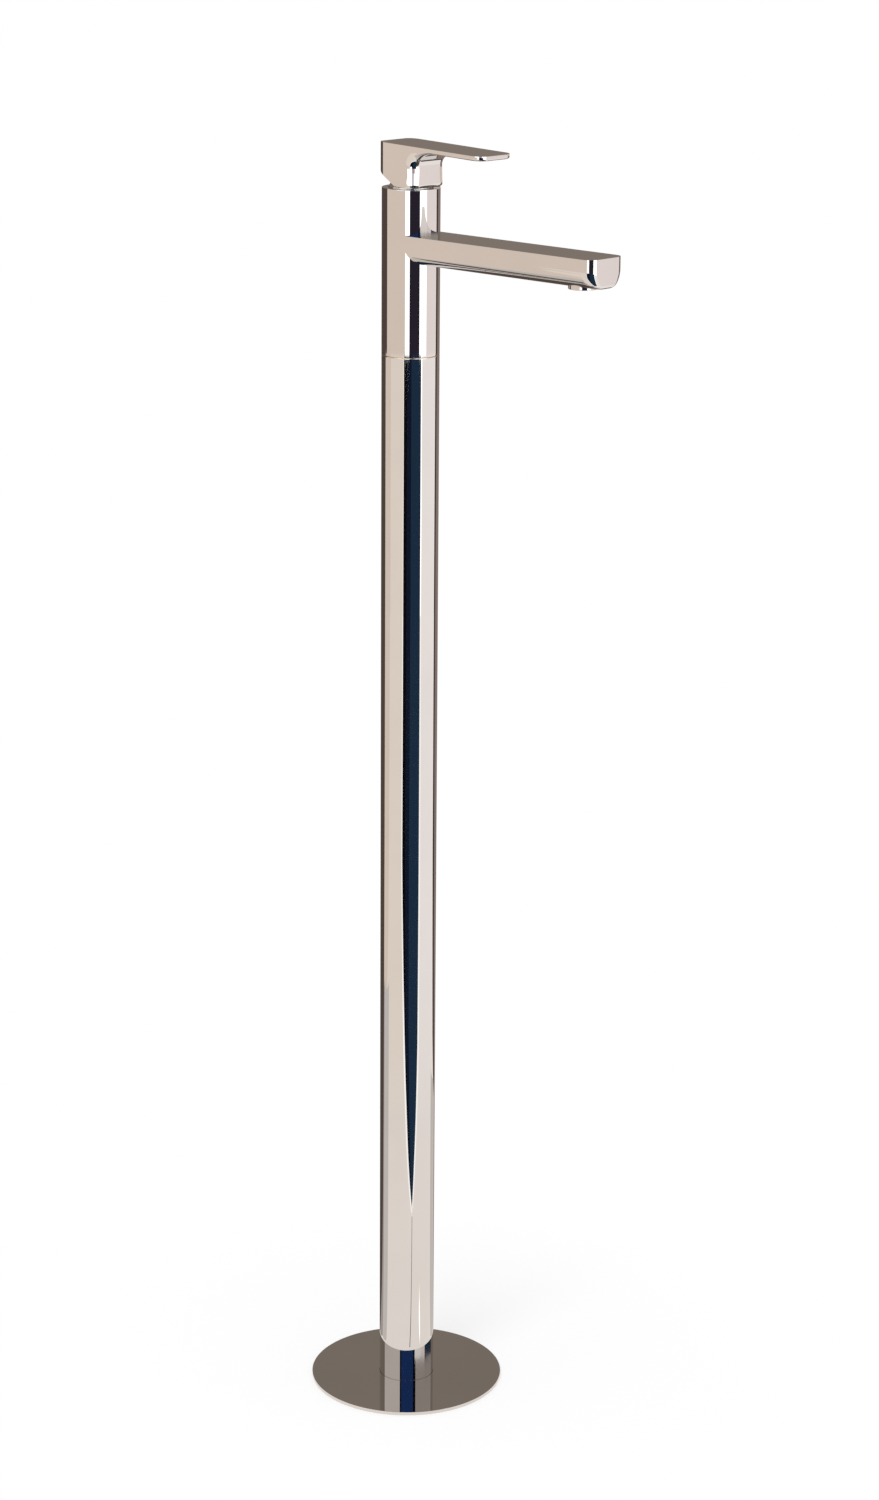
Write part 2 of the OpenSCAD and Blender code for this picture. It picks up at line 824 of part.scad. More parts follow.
module rotor() {
    rail_x = carrier_half_w + 0.15;
    color("orange") difference() {
        union() {
            disc(rotor_r, rotor_bottom, rotor_top);
            disc(rotor_flange_r, rotor_bottom, rotor_flange_top);
            difference() {
                disc(rotor_flange_r, carrier_bottom + 0.3, rotor_bottom + eps);
                translate([-rail_x, -cartridge_d, carrier_bottom])
                    cube([2 * rail_x, 2 * cartridge_d, rotor_bottom - carrier_bottom]);
            }
        }
        translate([-slot_half_x, -slot_half_y, rotor_bottom - past])
            cube([2 * slot_half_x, 2 * slot_half_y, rotor_top - rotor_bottom + 2 * past]);
        translate([-pin_half, 0, pivot_z]) rotate([0, 90, 0])
            cylinder(r = pin_r, h = 2 * pin_half);
    }
}

module pivot_pin() {
    color("gray") translate([-pin_half + 0.1, 0, pivot_z]) rotate([0, 90, 0])
        cylinder(r = pin_r, h = 2 * pin_half - 0.2);
}

// the spindle's own frame: the pivot is its origin and +Z runs up the leaning stem
module on_stem() {
    translate([0, 0, pivot_z]) rotate([stem_lean, 0, 0]) children();
}

module square_bar(side, z0, z1) {
    translate([-side / 2, -side / 2, z0]) cube([side, side, z1 - z0]);
}

module spindle() {
    color("darkgray") on_stem() difference() {
        union() {
            translate([-hub_half, 0, 0]) rotate([0, 90, 0]) cylinder(r = hub_r, h = 2 * hub_half);
            square_bar(stem_side, 0, stem_top);
            disc(arm_r, -ball_arm, 0);
            translate([0, 0, -ball_arm]) sphere(ball_r);
        }
        translate([-slot_half_x, 0, 0]) rotate([0, 90, 0])
            cylinder(r = pin_r + running_gap, h = 2 * slot_half_x);
    }
}

// a rectangle with round corners, from y0 to y1
module round_plan(w, y0, y1, r) {
    translate([-w / 2, y0 + r]) square([w, y1 - y0 - 2 * r]);
    translate([-w / 2 + r, y0]) square([w - 2 * r, y1 - y0]);
    for (x = [-1, 1], y = [y0 + r, y1 - r]) translate([x * (w / 2 - r), y]) circle(r);
}

// height of the sloping top at a place y
function top_at(y) = lever_top + y * slope_rise;

// place of the leaning back face at height z
function back_at(z) = lever_back - (z - back_foot) * tan(back_lean);

// side view of the block: its underside falls a little towards the front and climbs
// behind the axis, and its back leans; it ends inside the blade's thickness
module block_side() {
    sunk = blade_t / 2;
    back_z = top_at(lever_back) - sunk;
    difference() {
        polygon([[-lever_front, lever_low], [-lever_front + lever_edge_r, lever_low],
            [0, lever_bottom], [lever_back, back_foot],
            [back_at(back_z), back_z], [-lever_front, top_at(-lever_front) - sunk]]);
        difference() {
            translate([-lever_front - past, lever_low - past])
                square(lever_edge_r + past);
            translate([-lever_front + lever_edge_r, lever_low + lever_edge_r])
                circle(lever_edge_r);
        }
    }
}

// side view of the blade, which forms the top of the block too
module blade_side() {
    back_y = back_at(top_at(lever_back));
    low_z = top_at(back_y) - blade_t;
    polygon([[back_y, top_at(back_y)], [back_at(low_z), low_z],
        [-lever_reach, top_at(-lever_reach) - blade_t], [-lever_reach, top_at(-lever_reach)]]);
}

// outline of the sweep, from the axis of an upright corner outwards
module sweep_side() {
    far = 2 * sweep_r;
    difference() {
        square([lever_corner_r + sweep_out, sweep_high]);
        translate([lever_corner_r + lever_fillet_r, 0]) circle(lever_fillet_r);
        translate([lever_corner_r + sweep_out, -sweep_drop]) intersection() {
            circle(sweep_r);
            polygon([[0, 0], [-far * cos(fillet_turn), far * sin(fillet_turn)], [far, far],
                [far, 0]]);
        }
    }
}

// the sweep from the block's front and corners up to the blade
module block_sweep() {
    x = lever_w / 2 - lever_corner_r;
    y = -(lever_front - lever_corner_r);
    out = lever_corner_r + sweep_out;
    translate([0, 0, sweep_base]) {
        translate([x, y, 0]) rotate([90, 0, -90]) linear_extrude(2 * x) sweep_side();
        for (side = [-1, 1]) intersection() {
            translate([side * x, y, 0]) rotate_extrude() sweep_side();
            translate([side > 0 ? x : -x - lever_corner_r, y - out, 0])
                cube([lever_corner_r, out, sweep_high]);
        }
    }
}

// the block under the blade, without its hollows
module lever_block() {
    low = lever_low - past;
    high = lever_top + 2 * past - low;
    intersection() {
        translate([0, 0, low]) linear_extrude(high)
            round_plan(lever_w, -lever_front, lever_back, lever_corner_r);
        sideways(lever_w + 2 * past) block_side();
    }
}

module lever_outside() {
    low = lever_low - past;
    high = lever_top + 2 * past - low;
    lever_block();
    intersection() {
        translate([0, 0, low]) linear_extrude(high) round_plan(lever_w, -lever_reach, lever_back,
            lever_corner_r);
        sideways(lever_w + 2 * past) blade_side();
    }
    block_sweep();
}

module lever_hollow() {
    roof = top_at(-lever_front) - core_roof;
    difference() {
        translate([0, 0, core_bottom]) linear_extrude(roof - core_bottom)
            round_plan(lever_w - 2 * core_wall, -lever_front + core_wall,
                lever_back - core_wall, core_corner_r);
        on_stem() {
            disc(boss_r, 0, 2 * stem_top);
            translate([-rib_half, 0, screw_up - rib_half])
                cube([2 * rib_half, 2 * lever_back, 2 * rib_half]);
        }
    }
    difference() {
        disc(throat_r, lever_low - past, core_bottom + eps);
        on_stem() disc(boss_r, boss_start, 2 * stem_top);
    }
}

module lever_handle() {
    color("silver") difference() {
        lever_outside();
        lever_hollow();
        difference() {
            translate([0, 0, pivot_z]) sphere(hollow_r);
            on_stem() disc(boss_r, boss_start, stem_top);
        }
        on_stem() {
            square_bar(stem_side + 2 * seat_gap, 0, socket_top);
            translate([0, 0, screw_up]) {
                bar_y(grub_r, 0, 2 * lever_back);
                intersection() {
                    bar_y(plug_r, 0, 2 * lever_back);
                    translate([-plug_r, plug_start(), -plug_r])
                        cube([2 * plug_r, lever_back, 2 * plug_r]);
                }
            }
        }
    }
}

// how far along the screw's axis the plug begins
function plug_start() = (lever_back + screw_up * sin(stem_lean)) / cos(stem_lean) - plug_depth;

module lever_screw() {
    y0 = stem_side / 2 + 0.1;
    color("dimgray") on_stem() translate([0, 0, screw_up]) grub_screw(y0, y0 + grub_len);
}

module index_plug() {
    color("firebrick") intersection() {
        lever_block();
        on_stem() translate([0, 0, screw_up])
            bar_y(plug_r - seat_gap, plug_start() + 0.1, 2 * lever_back);
    }
}

rose();
floor_flange();
foot_spigot();
foot_o_rings();
foot_screws();
column_tube();
lower_hose_nuts();
lower_hose_gaskets();
lower_hose_tails();
hot_hose();
cold_hose();
hose_ferrules();
upper_hose_tails();
hose_tail_o_rings();
valve_body();
body_o_rings();
body_screws();
body_shell();
spout();
spout_nipple();
nipple_o_rings();
spout_pins();
aerator_housing();
aerator_insert();
aerator_washer();
cartridge_base();
cartridge_seals();
fixed_disc();
moving_disc();
disc_carrier();
cartridge_housing();
retaining_nut();
dome_cover();
rotor();
pivot_pin();
spindle();
lever_handle();
lever_screw();
index_plug();
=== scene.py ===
# %% [markdown]
# # A floor-standing basin mixer
# This lesson dresses a finished CAD model of a tall bathroom tap. The CAD says how big each
# piece is and how it moves. Blender's job is the look: soft edges that catch the light,
# polished chrome, and a small photo studio that the chrome can mirror. We start by loading
# the CAD model and keeping its box, so that we can compare our own model with it at the end.

# %% Load the frame
import math

import bmesh
import bpy
from mathutils import Matrix, Vector


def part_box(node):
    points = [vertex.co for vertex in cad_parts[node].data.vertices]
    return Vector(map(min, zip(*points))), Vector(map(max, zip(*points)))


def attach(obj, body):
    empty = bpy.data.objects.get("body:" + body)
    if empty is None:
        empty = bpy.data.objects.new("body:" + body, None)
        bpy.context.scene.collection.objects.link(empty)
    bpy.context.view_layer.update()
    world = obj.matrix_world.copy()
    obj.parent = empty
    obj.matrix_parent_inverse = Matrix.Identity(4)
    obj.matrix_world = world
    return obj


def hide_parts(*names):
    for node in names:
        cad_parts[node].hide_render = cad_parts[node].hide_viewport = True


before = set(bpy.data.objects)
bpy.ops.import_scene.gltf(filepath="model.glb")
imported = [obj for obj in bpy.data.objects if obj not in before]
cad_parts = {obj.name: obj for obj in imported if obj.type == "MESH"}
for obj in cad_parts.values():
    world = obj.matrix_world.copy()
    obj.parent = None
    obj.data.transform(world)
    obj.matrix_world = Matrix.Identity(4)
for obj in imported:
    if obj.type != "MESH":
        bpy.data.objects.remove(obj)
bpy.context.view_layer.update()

MM = 0.001

# %% [markdown]
# ## The camera
# The photograph was taken from the left front, a little above the tap. A long lens, more
# than 3 m from the tap's foot, keeps the column's sides almost parallel. Place and turn
# were worked out from the outlines of the column, the rose and the spout. The script
# writes the turn down as three directions: right, up and back.

# %% Camera
PLACE = Vector((-2.075395, -2.010252, 1.444119))
RIGHT = Vector((0.690299, -0.723495, 0.006511))
UP = Vector((0.196917, 0.196525, 0.960521))
BACK = Vector((-0.696212, -0.661764, 0.278130))


def make_camera(lens=81.236, sensor=36.0):
    data = bpy.data.cameras.new("camera")
    data.lens, data.sensor_width, data.sensor_fit = lens, sensor, "AUTO"
    camera = bpy.data.objects.new("camera", data)
    turn = Matrix((RIGHT, UP, BACK)).transposed().to_4x4()
    camera.matrix_world = Matrix.Translation(PLACE) @ turn
    bpy.context.scene.collection.objects.link(camera)
    bpy.context.scene.camera = camera
    return camera


camera = make_camera()
print("The camera stands", round(PLACE.length, 2), "m from the foot of the tap.")

# %% [markdown]
# ## Writing materials as sums
# A material is a graph of nodes. Drawing one with the mouse is pleasant, but in a script it
# is easier to read `0.03 + 0.02 * noise` than six lines that add and link nodes. The class
# `Number` below wraps one output of a node. Adding or multiplying two of them adds the Math
# node that does it.

# %% Numbers
class Number:
    """A value on its way through a material. Python's operators add Math nodes to it."""

    def __init__(self, graph, socket):
        self.graph, self.socket = graph, socket

    def math(self, operation, *values):
        return self.graph.node("ShaderNodeMath", {"operation": operation},
                               dict(enumerate(values)))

    def __add__(self, other):
        return self.math("ADD", self, other)

    def __sub__(self, other):
        return self.math("SUBTRACT", self, other)

    def __rsub__(self, other):
        return self.math("SUBTRACT", other, self)

    def __mul__(self, other):
        return self.math("MULTIPLY", self, other)

    __radd__, __rmul__ = __add__, __mul__

    def sine(self):
        return self.math("SINE", self)

    def root(self):
        return self.math("SQRT", self)

    def clip(self, low, high):
        """0 below low, 1 above high, and a soft step between them."""
        return self.graph.node("ShaderNodeMapRange", {"interpolation_type": "SMOOTHSTEP"},
                               {"Value": self, "From Min": low, "From Max": high})


print("Values can now be added and multiplied.")

# %% [markdown]
# ### Graphs and finishes
# A `Graph` is a tree of nodes under construction. Its method `node` makes every node in this
# lesson: it sets the node's options, and links or fills its sockets. A `Finish` is the graph
# of one material. It knows where on the piece a point lies, makes noise there, and feeds
# the result to the Principled shader.

# %% Graphs and finishes
class Graph:
    """A tree of nodes under construction."""

    def __init__(self, tree):
        self.tree = tree

    def node(self, kind, settings=None, sockets=None, out=0):
        made = self.tree.nodes.new(kind)
        for key, value in (settings or {}).items():
            setattr(made, key, value)
        for key, value in (sockets or {}).items():
            if isinstance(value, Number):
                self.tree.links.new(value.socket, made.inputs[key])
            else:
                made.inputs[key].default_value = value
        return Number(self, made.outputs[out])


class Finish(Graph):
    """A material under construction, with its Principled shader."""

    def __init__(self, name, **constants):
        self.material = bpy.data.materials.new(name)
        self.material.use_nodes = True
        super().__init__(self.material.node_tree)
        self.shader = self.tree.nodes["Principled BSDF"]
        for socket, value in constants.items():
            self.shader.inputs[socket.replace("_", " ")].default_value = value

    def feed(self, socket, value):
        self.tree.links.new(value.socket, self.shader.inputs[socket])

    def surface(self, shader):
        """Shows another shader in place of the Principled one."""
        end = self.tree.nodes["Material Output"].inputs["Surface"]
        self.tree.links.new(shader.socket, end)

    def place(self):
        """The point on the piece, in metres, as a vector."""
        return self.node("ShaderNodeTexCoord", out="Object")

    def axes(self):
        """X, Y and Z of the point as three numbers."""
        split = self.node("ShaderNodeSeparateXYZ", sockets={"Vector": self.place()})
        return [Number(self, part) for part in split.socket.node.outputs]

    def reach(self):
        """The point's distance from the upright axis."""
        x, y, _ = self.axes()
        return (x * x + y * y).root()

    def noise(self, scale, detail=2.0, stretch=(1, 1, 1), roughness=0.5):
        at = self.node("ShaderNodeMapping", sockets={"Vector": self.place(), "Scale": stretch})
        return self.node("ShaderNodeTexNoise", sockets={
            "Vector": at, "Scale": scale, "Detail": detail, "Roughness": roughness})

    def blend(self, share, first, second):
        """A colour between two others."""
        first, second = (c if isinstance(c, Number) else (*c, 1) for c in (first, second))
        return self.node("ShaderNodeMix", {"data_type": "RGBA"}, {
            "Factor": share, 6: first, 7: second}, out=2)

    def glow(self, colour, strength):
        """A shader that shines by itself."""
        return self.node("ShaderNodeEmission", sockets={"Color": colour, "Strength": strength})

    def bump(self, height, depth):
        self.feed("Normal", self.node("ShaderNodeBump", sockets={
            "Height": height, "Distance": depth}))


print("Materials can now be written as sums.")

# %% [markdown]
# ## Polished chrome
# Chrome is a thin hard plate over polished brass. It mirrors the room, a shade darker and
# slightly warm. A perfect mirror looks like a computer drawing, so three quiet things are
# added: a film of handling marks that changes the roughness, a faint change of tone, and
# the very long, very shallow waves that a buffing wheel leaves. The waves are only about a
# hundredth of a millimetre deep, but they make straight reflections a little alive.

# %% Chrome
def chrome(name, wave_stretch=(1, 1, 1)):
    f = Finish(name, Metallic=1.0, IOR=1.5)
    film = f.noise(9, 4, roughness=0.6).clip(0.35, 0.75)
    f.feed("Base Color", f.blend(film, (0.700, 0.691, 0.681), (0.670, 0.662, 0.655)))
    f.feed("Roughness", 0.018 + 0.022 * film)
    waves = f.noise(26, 1, stretch=wave_stretch)
    f.bump(waves, 0.00002)
    return f.material


chrome_tube = chrome("chrome_tube", wave_stretch=(1, 1, 0.25))
chrome_cast = chrome("chrome_cast")
chrome_rose = chrome("chrome_rose")
print("Chrome is ready in three cuts: drawn tube, casting and pressed sheet.")

# %% [markdown]
# ## Steel and brass
# The steel and brass pieces show only when the rose is lifted, or from below. The plate on
# the floor is turned on a lathe, so its scratches run round the axis: rings whose height
# depends on the distance from the centre. The brass castings are dull where the sand was
# and bright where the tool went. Screws, pins and spindle are plain, finely ground steel.

# %% Steel and brass
def rings(f, spacing, wander=0.0004):
    """Fine turning marks round the Z axis."""
    drift = f.noise(60, 2) * wander
    return ((f.reach() + drift) * (2 * math.pi / spacing)).sine() * 0.5 + 0.5


def turned_steel():
    f = Finish("turned_steel", Metallic=1.0, IOR=1.5)
    marks = rings(f, 0.0009)
    dull = f.noise(45, 4).clip(0.3, 0.8)
    f.feed("Base Color", f.blend(dull, (0.60, 0.60, 0.60), (0.47, 0.47, 0.48)))
    f.feed("Roughness", 0.24 + 0.10 * marks + 0.08 * dull)
    f.bump(marks, 0.00002)
    return f.material


def ground_steel():
    f = Finish("ground_steel", Metallic=1.0, IOR=1.5)
    grain = f.noise(900, 2, stretch=(1, 0.1, 1))
    f.feed("Base Color", f.blend(grain, (0.50, 0.50, 0.51), (0.66, 0.66, 0.67)))
    f.feed("Roughness", 0.20 + 0.16 * grain)
    f.bump(grain, 0.00002)
    return f.material


def brass():
    f = Finish("brass", Metallic=1.0, IOR=1.5)
    cast = f.noise(400, 3)
    tone = f.noise(30, 3).clip(0.3, 0.75)
    f.feed("Base Color", f.blend(tone, (0.80, 0.62, 0.30), (0.62, 0.44, 0.20)))
    f.feed("Roughness", 0.22 + 0.16 * cast + 0.10 * tone)
    f.bump(cast, 0.00004)
    return f.material


steel_plate, steel_small, brass_cast = turned_steel(), ground_steel(), brass()
print("Steel and brass are ready.")

# %% [markdown]
# ## Braid, rubber, ceramic and plastics
# Inside the column two hoses climb to the valve. Their steel braid is two sets of threads
# that wind round the hose in opposite directions. A thread's place depends on the angle
# round the hose and on the height, so one sine of `angle + height` and one of
# `angle - height` make the weave. The valve's own pieces are ceramic and moulded plastics.
# They get the things that such parts have: specks, a faint orange peel and wear.

# %% Braid, rubber, ceramic and plastics
def braid(x_axis, threads=12, one_turn=0.096):
    """Threads that wind round the hose once in every one_turn metres."""
    f = Finish("steel_braid_" + ("hot" if x_axis < 0 else "cold"), Metallic=1.0, IOR=1.5)
    x, y, z = f.axes()
    angle = y.math("ARCTAN2", y, x - x_axis)
    climb = z * (2 * math.pi * threads / one_turn)
    right = (angle * threads + climb).sine() * 0.5 + 0.5
    left = (angle * threads - climb).sine() * 0.5 + 0.5
    weave = right.math("MAXIMUM", right, left)
    f.feed("Base Color", f.blend(weave, (0.10, 0.10, 0.10), (0.62, 0.62, 0.63)))
    f.feed("Roughness", 0.55 - 0.25 * weave)
    f.bump(weave, 0.0003)
    return f.material


def moulded(name, light, dark, rough, peel_depth, peel_scale=700, specks=0.0):
    """Plastic, rubber or ceramic: two close tones, orange peel and a few specks."""
    f = Finish(name, IOR=1.48)
    tone = f.noise(70, 3).clip(0.3, 0.7)
    peel = f.noise(peel_scale, 2)
    fleck = f.noise(1500, 1).clip(0.66, 0.74) * specks
    f.feed("Base Color", f.blend(tone * (1 - specks) + fleck, light, dark))
    f.feed("Roughness", rough + 0.08 * peel + 0.06 * tone)
    f.bump(peel, peel_depth)
    return f.material


rubber = moulded("seal_rubber", (0.035, 0.034, 0.033), (0.020, 0.020, 0.020), 0.55, 0.00004)
ceramic = moulded("ceramic", (0.88, 0.86, 0.80), (0.80, 0.78, 0.72), 0.16, 0.000004, specks=0.4)
pale_plastic = moulded("pale_plastic", (0.84, 0.85, 0.86), (0.78, 0.79, 0.81), 0.36, 0.00001)
dark_plastic = moulded("dark_plastic", (0.085, 0.085, 0.09), (0.05, 0.05, 0.055), 0.40, 0.00001)
orange_plastic = moulded("orange_plastic", (0.74, 0.33, 0.08), (0.62, 0.26, 0.06), 0.38, 0.00001)
grey_plastic = moulded("grey_plastic", (0.58, 0.59, 0.61), (0.50, 0.51, 0.53), 0.34, 0.00001)
print("Braid and mouldings are ready.")

# %% [markdown]
# ## Dressing the hidden CAD pieces
# Most of the tap's pieces sit inside the column or the lever, and their CAD shape is right
# as it is. They keep their mesh and only get a finish. `paint` takes a finish and the names
# of the nodes that get it. The braid is made twice, once round each hose's own axis.

# %% Finishes for CAD nodes
def paint(material, *names):
    for name in names:
        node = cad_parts[name]
        node.data.materials.clear()
        node.data.materials.append(material)


paint(steel_plate, "floor_flange")
paint(steel_small, "foot_screws", "body_screws", "spout_pins", "hose_ferrules", "pivot_pin",
      "spindle", "lever_screw")
paint(brass_cast, "foot_spigot", "valve_body", "lower_hose_nuts", "lower_hose_tails",
      "upper_hose_tails", "spout_nipple", "retaining_nut")
hose_low, hose_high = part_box("cold_hose")
hose_x = (hose_low.x + hose_high.x) / 2
paint(braid(-hose_x), "hot_hose")
paint(braid(hose_x), "cold_hose")
paint(rubber, "foot_o_rings", "lower_hose_gaskets", "hose_tail_o_rings", "body_o_rings",
      "nipple_o_rings", "aerator_washer", "cartridge_seals")
paint(ceramic, "fixed_disc", "moving_disc")
paint(pale_plastic, "cartridge_base", "cartridge_housing", "aerator_insert")
paint(dark_plastic, "disc_carrier")
paint(orange_plastic, "rotor")
paint(grey_plastic, "index_plug")
print("The hidden pieces are dressed; the hoses stand", round(hose_x / MM, 1),
      "mm beside the axis.")

# %% [markdown]
# ## Tools for making pieces
# The pieces that show are modelled again, because CAD edges are razor sharp, while a
# polisher's wheel rounds every edge a little, and that thin round edge is what draws the
# bright lines on chrome. `lathe` spins a profile round an axis, as a turner does. `prism`
# pulls a flat outline up, as a press does, after its corners have been rounded. `rod` is a
# round bar, which mostly serves as a drill. `pull_down` lowers a face and changes its size
# on the way, for shapes that shrink towards their underside.

# %% Shapes
def as_object(name, bm):
    bmesh.ops.remove_doubles(bm, verts=bm.verts, dist=1e-7)
    bmesh.ops.recalc_face_normals(bm, faces=bm.faces)
    mesh = bpy.data.meshes.new(name)
    bm.to_mesh(mesh)
    bm.free()
    made = bpy.data.objects.new(name, mesh)
    bpy.context.scene.collection.objects.link(made)
    return made


def lathe(name, profile, steps=192, centre=(0, 0), soft=0.0):
    """Spins (radius, height) points, in millimetres, round an upright axis."""
    bm = bmesh.new()
    cx, cy = centre
    verts = [bm.verts.new(((cx + r) * MM, cy * MM, z * MM)) for r, z in profile]
    for a, b in zip(verts, verts[1:] + verts[:1]):
        bm.edges.new((a, b))
    bmesh.ops.spin(bm, geom=bm.verts[:] + bm.edges[:], cent=(cx * MM, cy * MM, 0),
                   axis=(0, 0, 1), angle=2 * math.pi, steps=steps, use_merge=True)
    bmesh.ops.remove_doubles(bm, verts=bm.verts, dist=1e-7)
    bmesh.ops.recalc_face_normals(bm, faces=bm.faces)
    if soft:
        soften(bm, soft)
    return as_object(name, bm)


def soften(bm, width, angle=30, segments=3):
    """Rounds every edge that turns more than angle degrees."""
    sharp = [e for e in bm.edges if len(e.link_faces) == 2
             and e.calc_face_angle(0) > math.radians(angle)]
    bmesh.ops.bevel(bm, geom=sharp, offset=width * MM, offset_type="OFFSET",
                    affect="EDGES", segments=segments, profile=0.5, material=-1,
                    clamp_overlap=True)


def round_corners(bm, verts, offset, segments):
    """Rounds corners of a flat outline. A right angle's offset is its radius, in metres."""
    bmesh.ops.bevel(bm, geom=verts, offset=offset, offset_type="OFFSET",
                    affect="VERTICES", segments=segments, profile=0.5, material=-1)


def pull_down(bm, face, rise, wide, long):
    """Moves a face by rise millimetres, down if negative, scales it and grows walls to it."""
    pulled = bmesh.ops.extrude_face_region(bm, geom=[face, *face.edges, *face.verts])["geom"]
    new = [v for v in pulled if isinstance(v, bmesh.types.BMVert)]
    bmesh.ops.translate(bm, verts=new, vec=(0, 0, rise * MM))
    bmesh.ops.scale(bm, verts=new, vec=(wide, long, 1))
    face, = [v for v in pulled if isinstance(v, bmesh.types.BMFace)]
    return face


def prism(name, corners, low, high, along="Z", radii=(), segments=14):
    """Pulls an outline, in millimetres, from low to high along Z or X.
    radii rounds corners by their place in the outline."""
    bm = bmesh.new()
    lift = {"Z": lambda a, b, c: (a, b, c), "X": lambda a, b, c: (c, a, b)}[along]
    verts = [bm.verts.new([v * MM for v in lift(a, b, low)]) for a, b in corners]
    bm.faces.new(verts)
    for place, radius in radii:
        before, here, after = (Vector(corners[(place + k) % len(corners)]) for k in (-1, 0, 1))
        turn = (here - before).angle(after - here)
        round_corners(bm, [verts[place]], radius * math.tan(turn / 2) * MM, segments)
    pulled = bmesh.ops.extrude_face_region(bm, geom=bm.faces[:])
    top = [v for v in pulled["geom"] if isinstance(v, bmesh.types.BMVert)]
    bmesh.ops.translate(bm, verts=top, vec=[v * MM for v in lift(0, 0, high - low)])
    return as_object(name, bm)


def rod(name, radius, start, end, steps=64):
    """A round bar between two points, in millimetres."""
    a, b = Vector(start) * MM, Vector(end) * MM
    bm = bmesh.new()
    turn = (b - a).to_track_quat("Z", "Y").to_matrix().to_4x4()
    bmesh.ops.create_cone(bm, cap_ends=True, segments=steps, radius1=radius * MM,
                          radius2=radius * MM, depth=(b - a).length,
                          matrix=Matrix.Translation((a + b) / 2) @ turn)
    return as_object(name, bm)


print("Shapes can be turned, pressed and drawn.")

# %% [markdown]
# ### Cutting and finishing
# `trim` cuts, joins or keeps with another shape, and `tidy` takes out the slivers that this
# leaves. `show` ends each piece: it welds doubled points, gives the piece its finish, hangs it
# on the body that it rides on, hides the CAD node that it stands for, and prints how far its
# box is off that node's.

# %% Cutting and finishing
def trim(piece, tool, how="DIFFERENCE"):
    """Cuts piece with tool, keeps what both share, or joins them. The tool is used up."""
    step = piece.modifiers.new("trim", "BOOLEAN")
    step.operation, step.object, step.solver = how, tool, "EXACT"
    return settle(piece, tool)


def tidy(piece, angle=0.05):
    """Takes out the slivers that cutting leaves, and joins faces that lie in one plane."""
    bm = bmesh.new()
    bm.from_mesh(piece.data)
    bmesh.ops.remove_doubles(bm, verts=bm.verts, dist=2e-6)
    bmesh.ops.dissolve_limit(bm, angle_limit=math.radians(angle), verts=bm.verts,
                             edges=bm.edges, use_dissolve_boundaries=False)
    bmesh.ops.dissolve_degenerate(bm, edges=bm.edges, dist=2e-6)
    bm.to_mesh(piece.data)
    bm.free()


def settle(piece, *used_up):
    """Writes the piece's modifiers into its mesh."""
    graph = bpy.context.evaluated_depsgraph_get()
    graph.update()
    mesh = bpy.data.meshes.new_from_object(piece.evaluated_get(graph), depsgraph=graph)
    piece.modifiers.clear()
    piece.data = mesh
    for tool in used_up:
        bpy.data.objects.remove(tool)
    return piece


def show(piece, node, body, material, soft=0.0, sharp=32):
    """Finishes a piece: soft edges, even shading, its finish, body and CAD node."""
    if soft:
        edge = piece.modifiers.new("soft edges", "BEVEL")
        edge.width, edge.segments, edge.limit_method = soft * MM, 3, "ANGLE"
        edge.angle_limit = math.radians(sharp)
        settle(piece)
    bm = bmesh.new()
    bm.from_mesh(piece.data)
    bmesh.ops.remove_doubles(bm, verts=bm.verts, dist=2e-7)
    bmesh.ops.dissolve_degenerate(bm, edges=bm.edges, dist=1e-7)
    bm.to_mesh(piece.data)
    bm.free()
    piece.data.shade_smooth()
    piece.data.set_sharp_from_angle(angle=math.radians(sharp))
    even = piece.modifiers.new("even shading", "WEIGHTED_NORMAL")
    even.keep_sharp, even.weight = True, 80
    piece.data.materials.clear()
    piece.data.materials.append(material)
    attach(piece, body)
    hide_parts(node)
    spread = list(zip(*(v.co for v in piece.data.vertices)))
    box = [*map(min, spread), *map(max, spread)]
    cad_low, cad_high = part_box(node)
    off = max(abs(a - b) for a, b in zip(box, (*cad_low, *cad_high)))
    print(f"{piece.name}: {len(piece.data.polygons)} faces, its box is off the CAD's by "
          f"{off / MM:.2f} mm")
    return piece

# %% [markdown]
# ## The floor rose
# The rose is the round cover on the floor: a shallow pressed dish with a hole for the
# column. It is hollow underneath, so that it can hide the flange and its four screws, and it
# slides up the column when a plumber needs to reach them. It could be cut from a cylinder,
# but a lathe profile gives the wall, the hollow and the rim in one go.

# %% Rose
COLUMN_R, ROUND = 25.0, 256
SLIDE_GAP, SHEET, RIM = 0.2, 0.8, 11.0
ROSE_R = round(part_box("rose")[1].x / MM, 2)
ROSE_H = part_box("rose")[1].z / MM
ROSE_HOLE_R, RECESS_R = COLUMN_R + SLIDE_GAP, ROSE_R - RIM
rose = lathe("rose_cover", [
    (ROSE_HOLE_R, ROSE_H - SHEET), (RECESS_R, ROSE_H - SHEET), (RECESS_R, 0), (ROSE_R, 0),
    (ROSE_R, ROSE_H), (ROSE_HOLE_R, ROSE_H)], steps=ROUND, soft=0.12)
show(rose, "rose", "rose", chrome_rose)

# %% [markdown]
# ## The column
# The column is a drawn tube, 50 mm across, and nearly a metre long. Its ends are softly
# rounded. Three grub screws at the back hold it: two near the floor and one below the joint
# line. Their holes are cut with rods. Before the cuts, extra rings are scored round the tube
# close to the holes, so that the long mirror faces between them stay untouched and flat.

# %% Column
TUBE_WALL = 2.0


def ring_cuts(piece, *heights):
    bm = bmesh.new()
    bm.from_mesh(piece.data)
    for z in heights:
        bmesh.ops.bisect_plane(bm, geom=bm.verts[:] + bm.edges[:] + bm.faces[:],
                               plane_co=(0, 0, z * MM), plane_no=(0, 0, 1))
    bm.to_mesh(piece.data)
    bm.free()


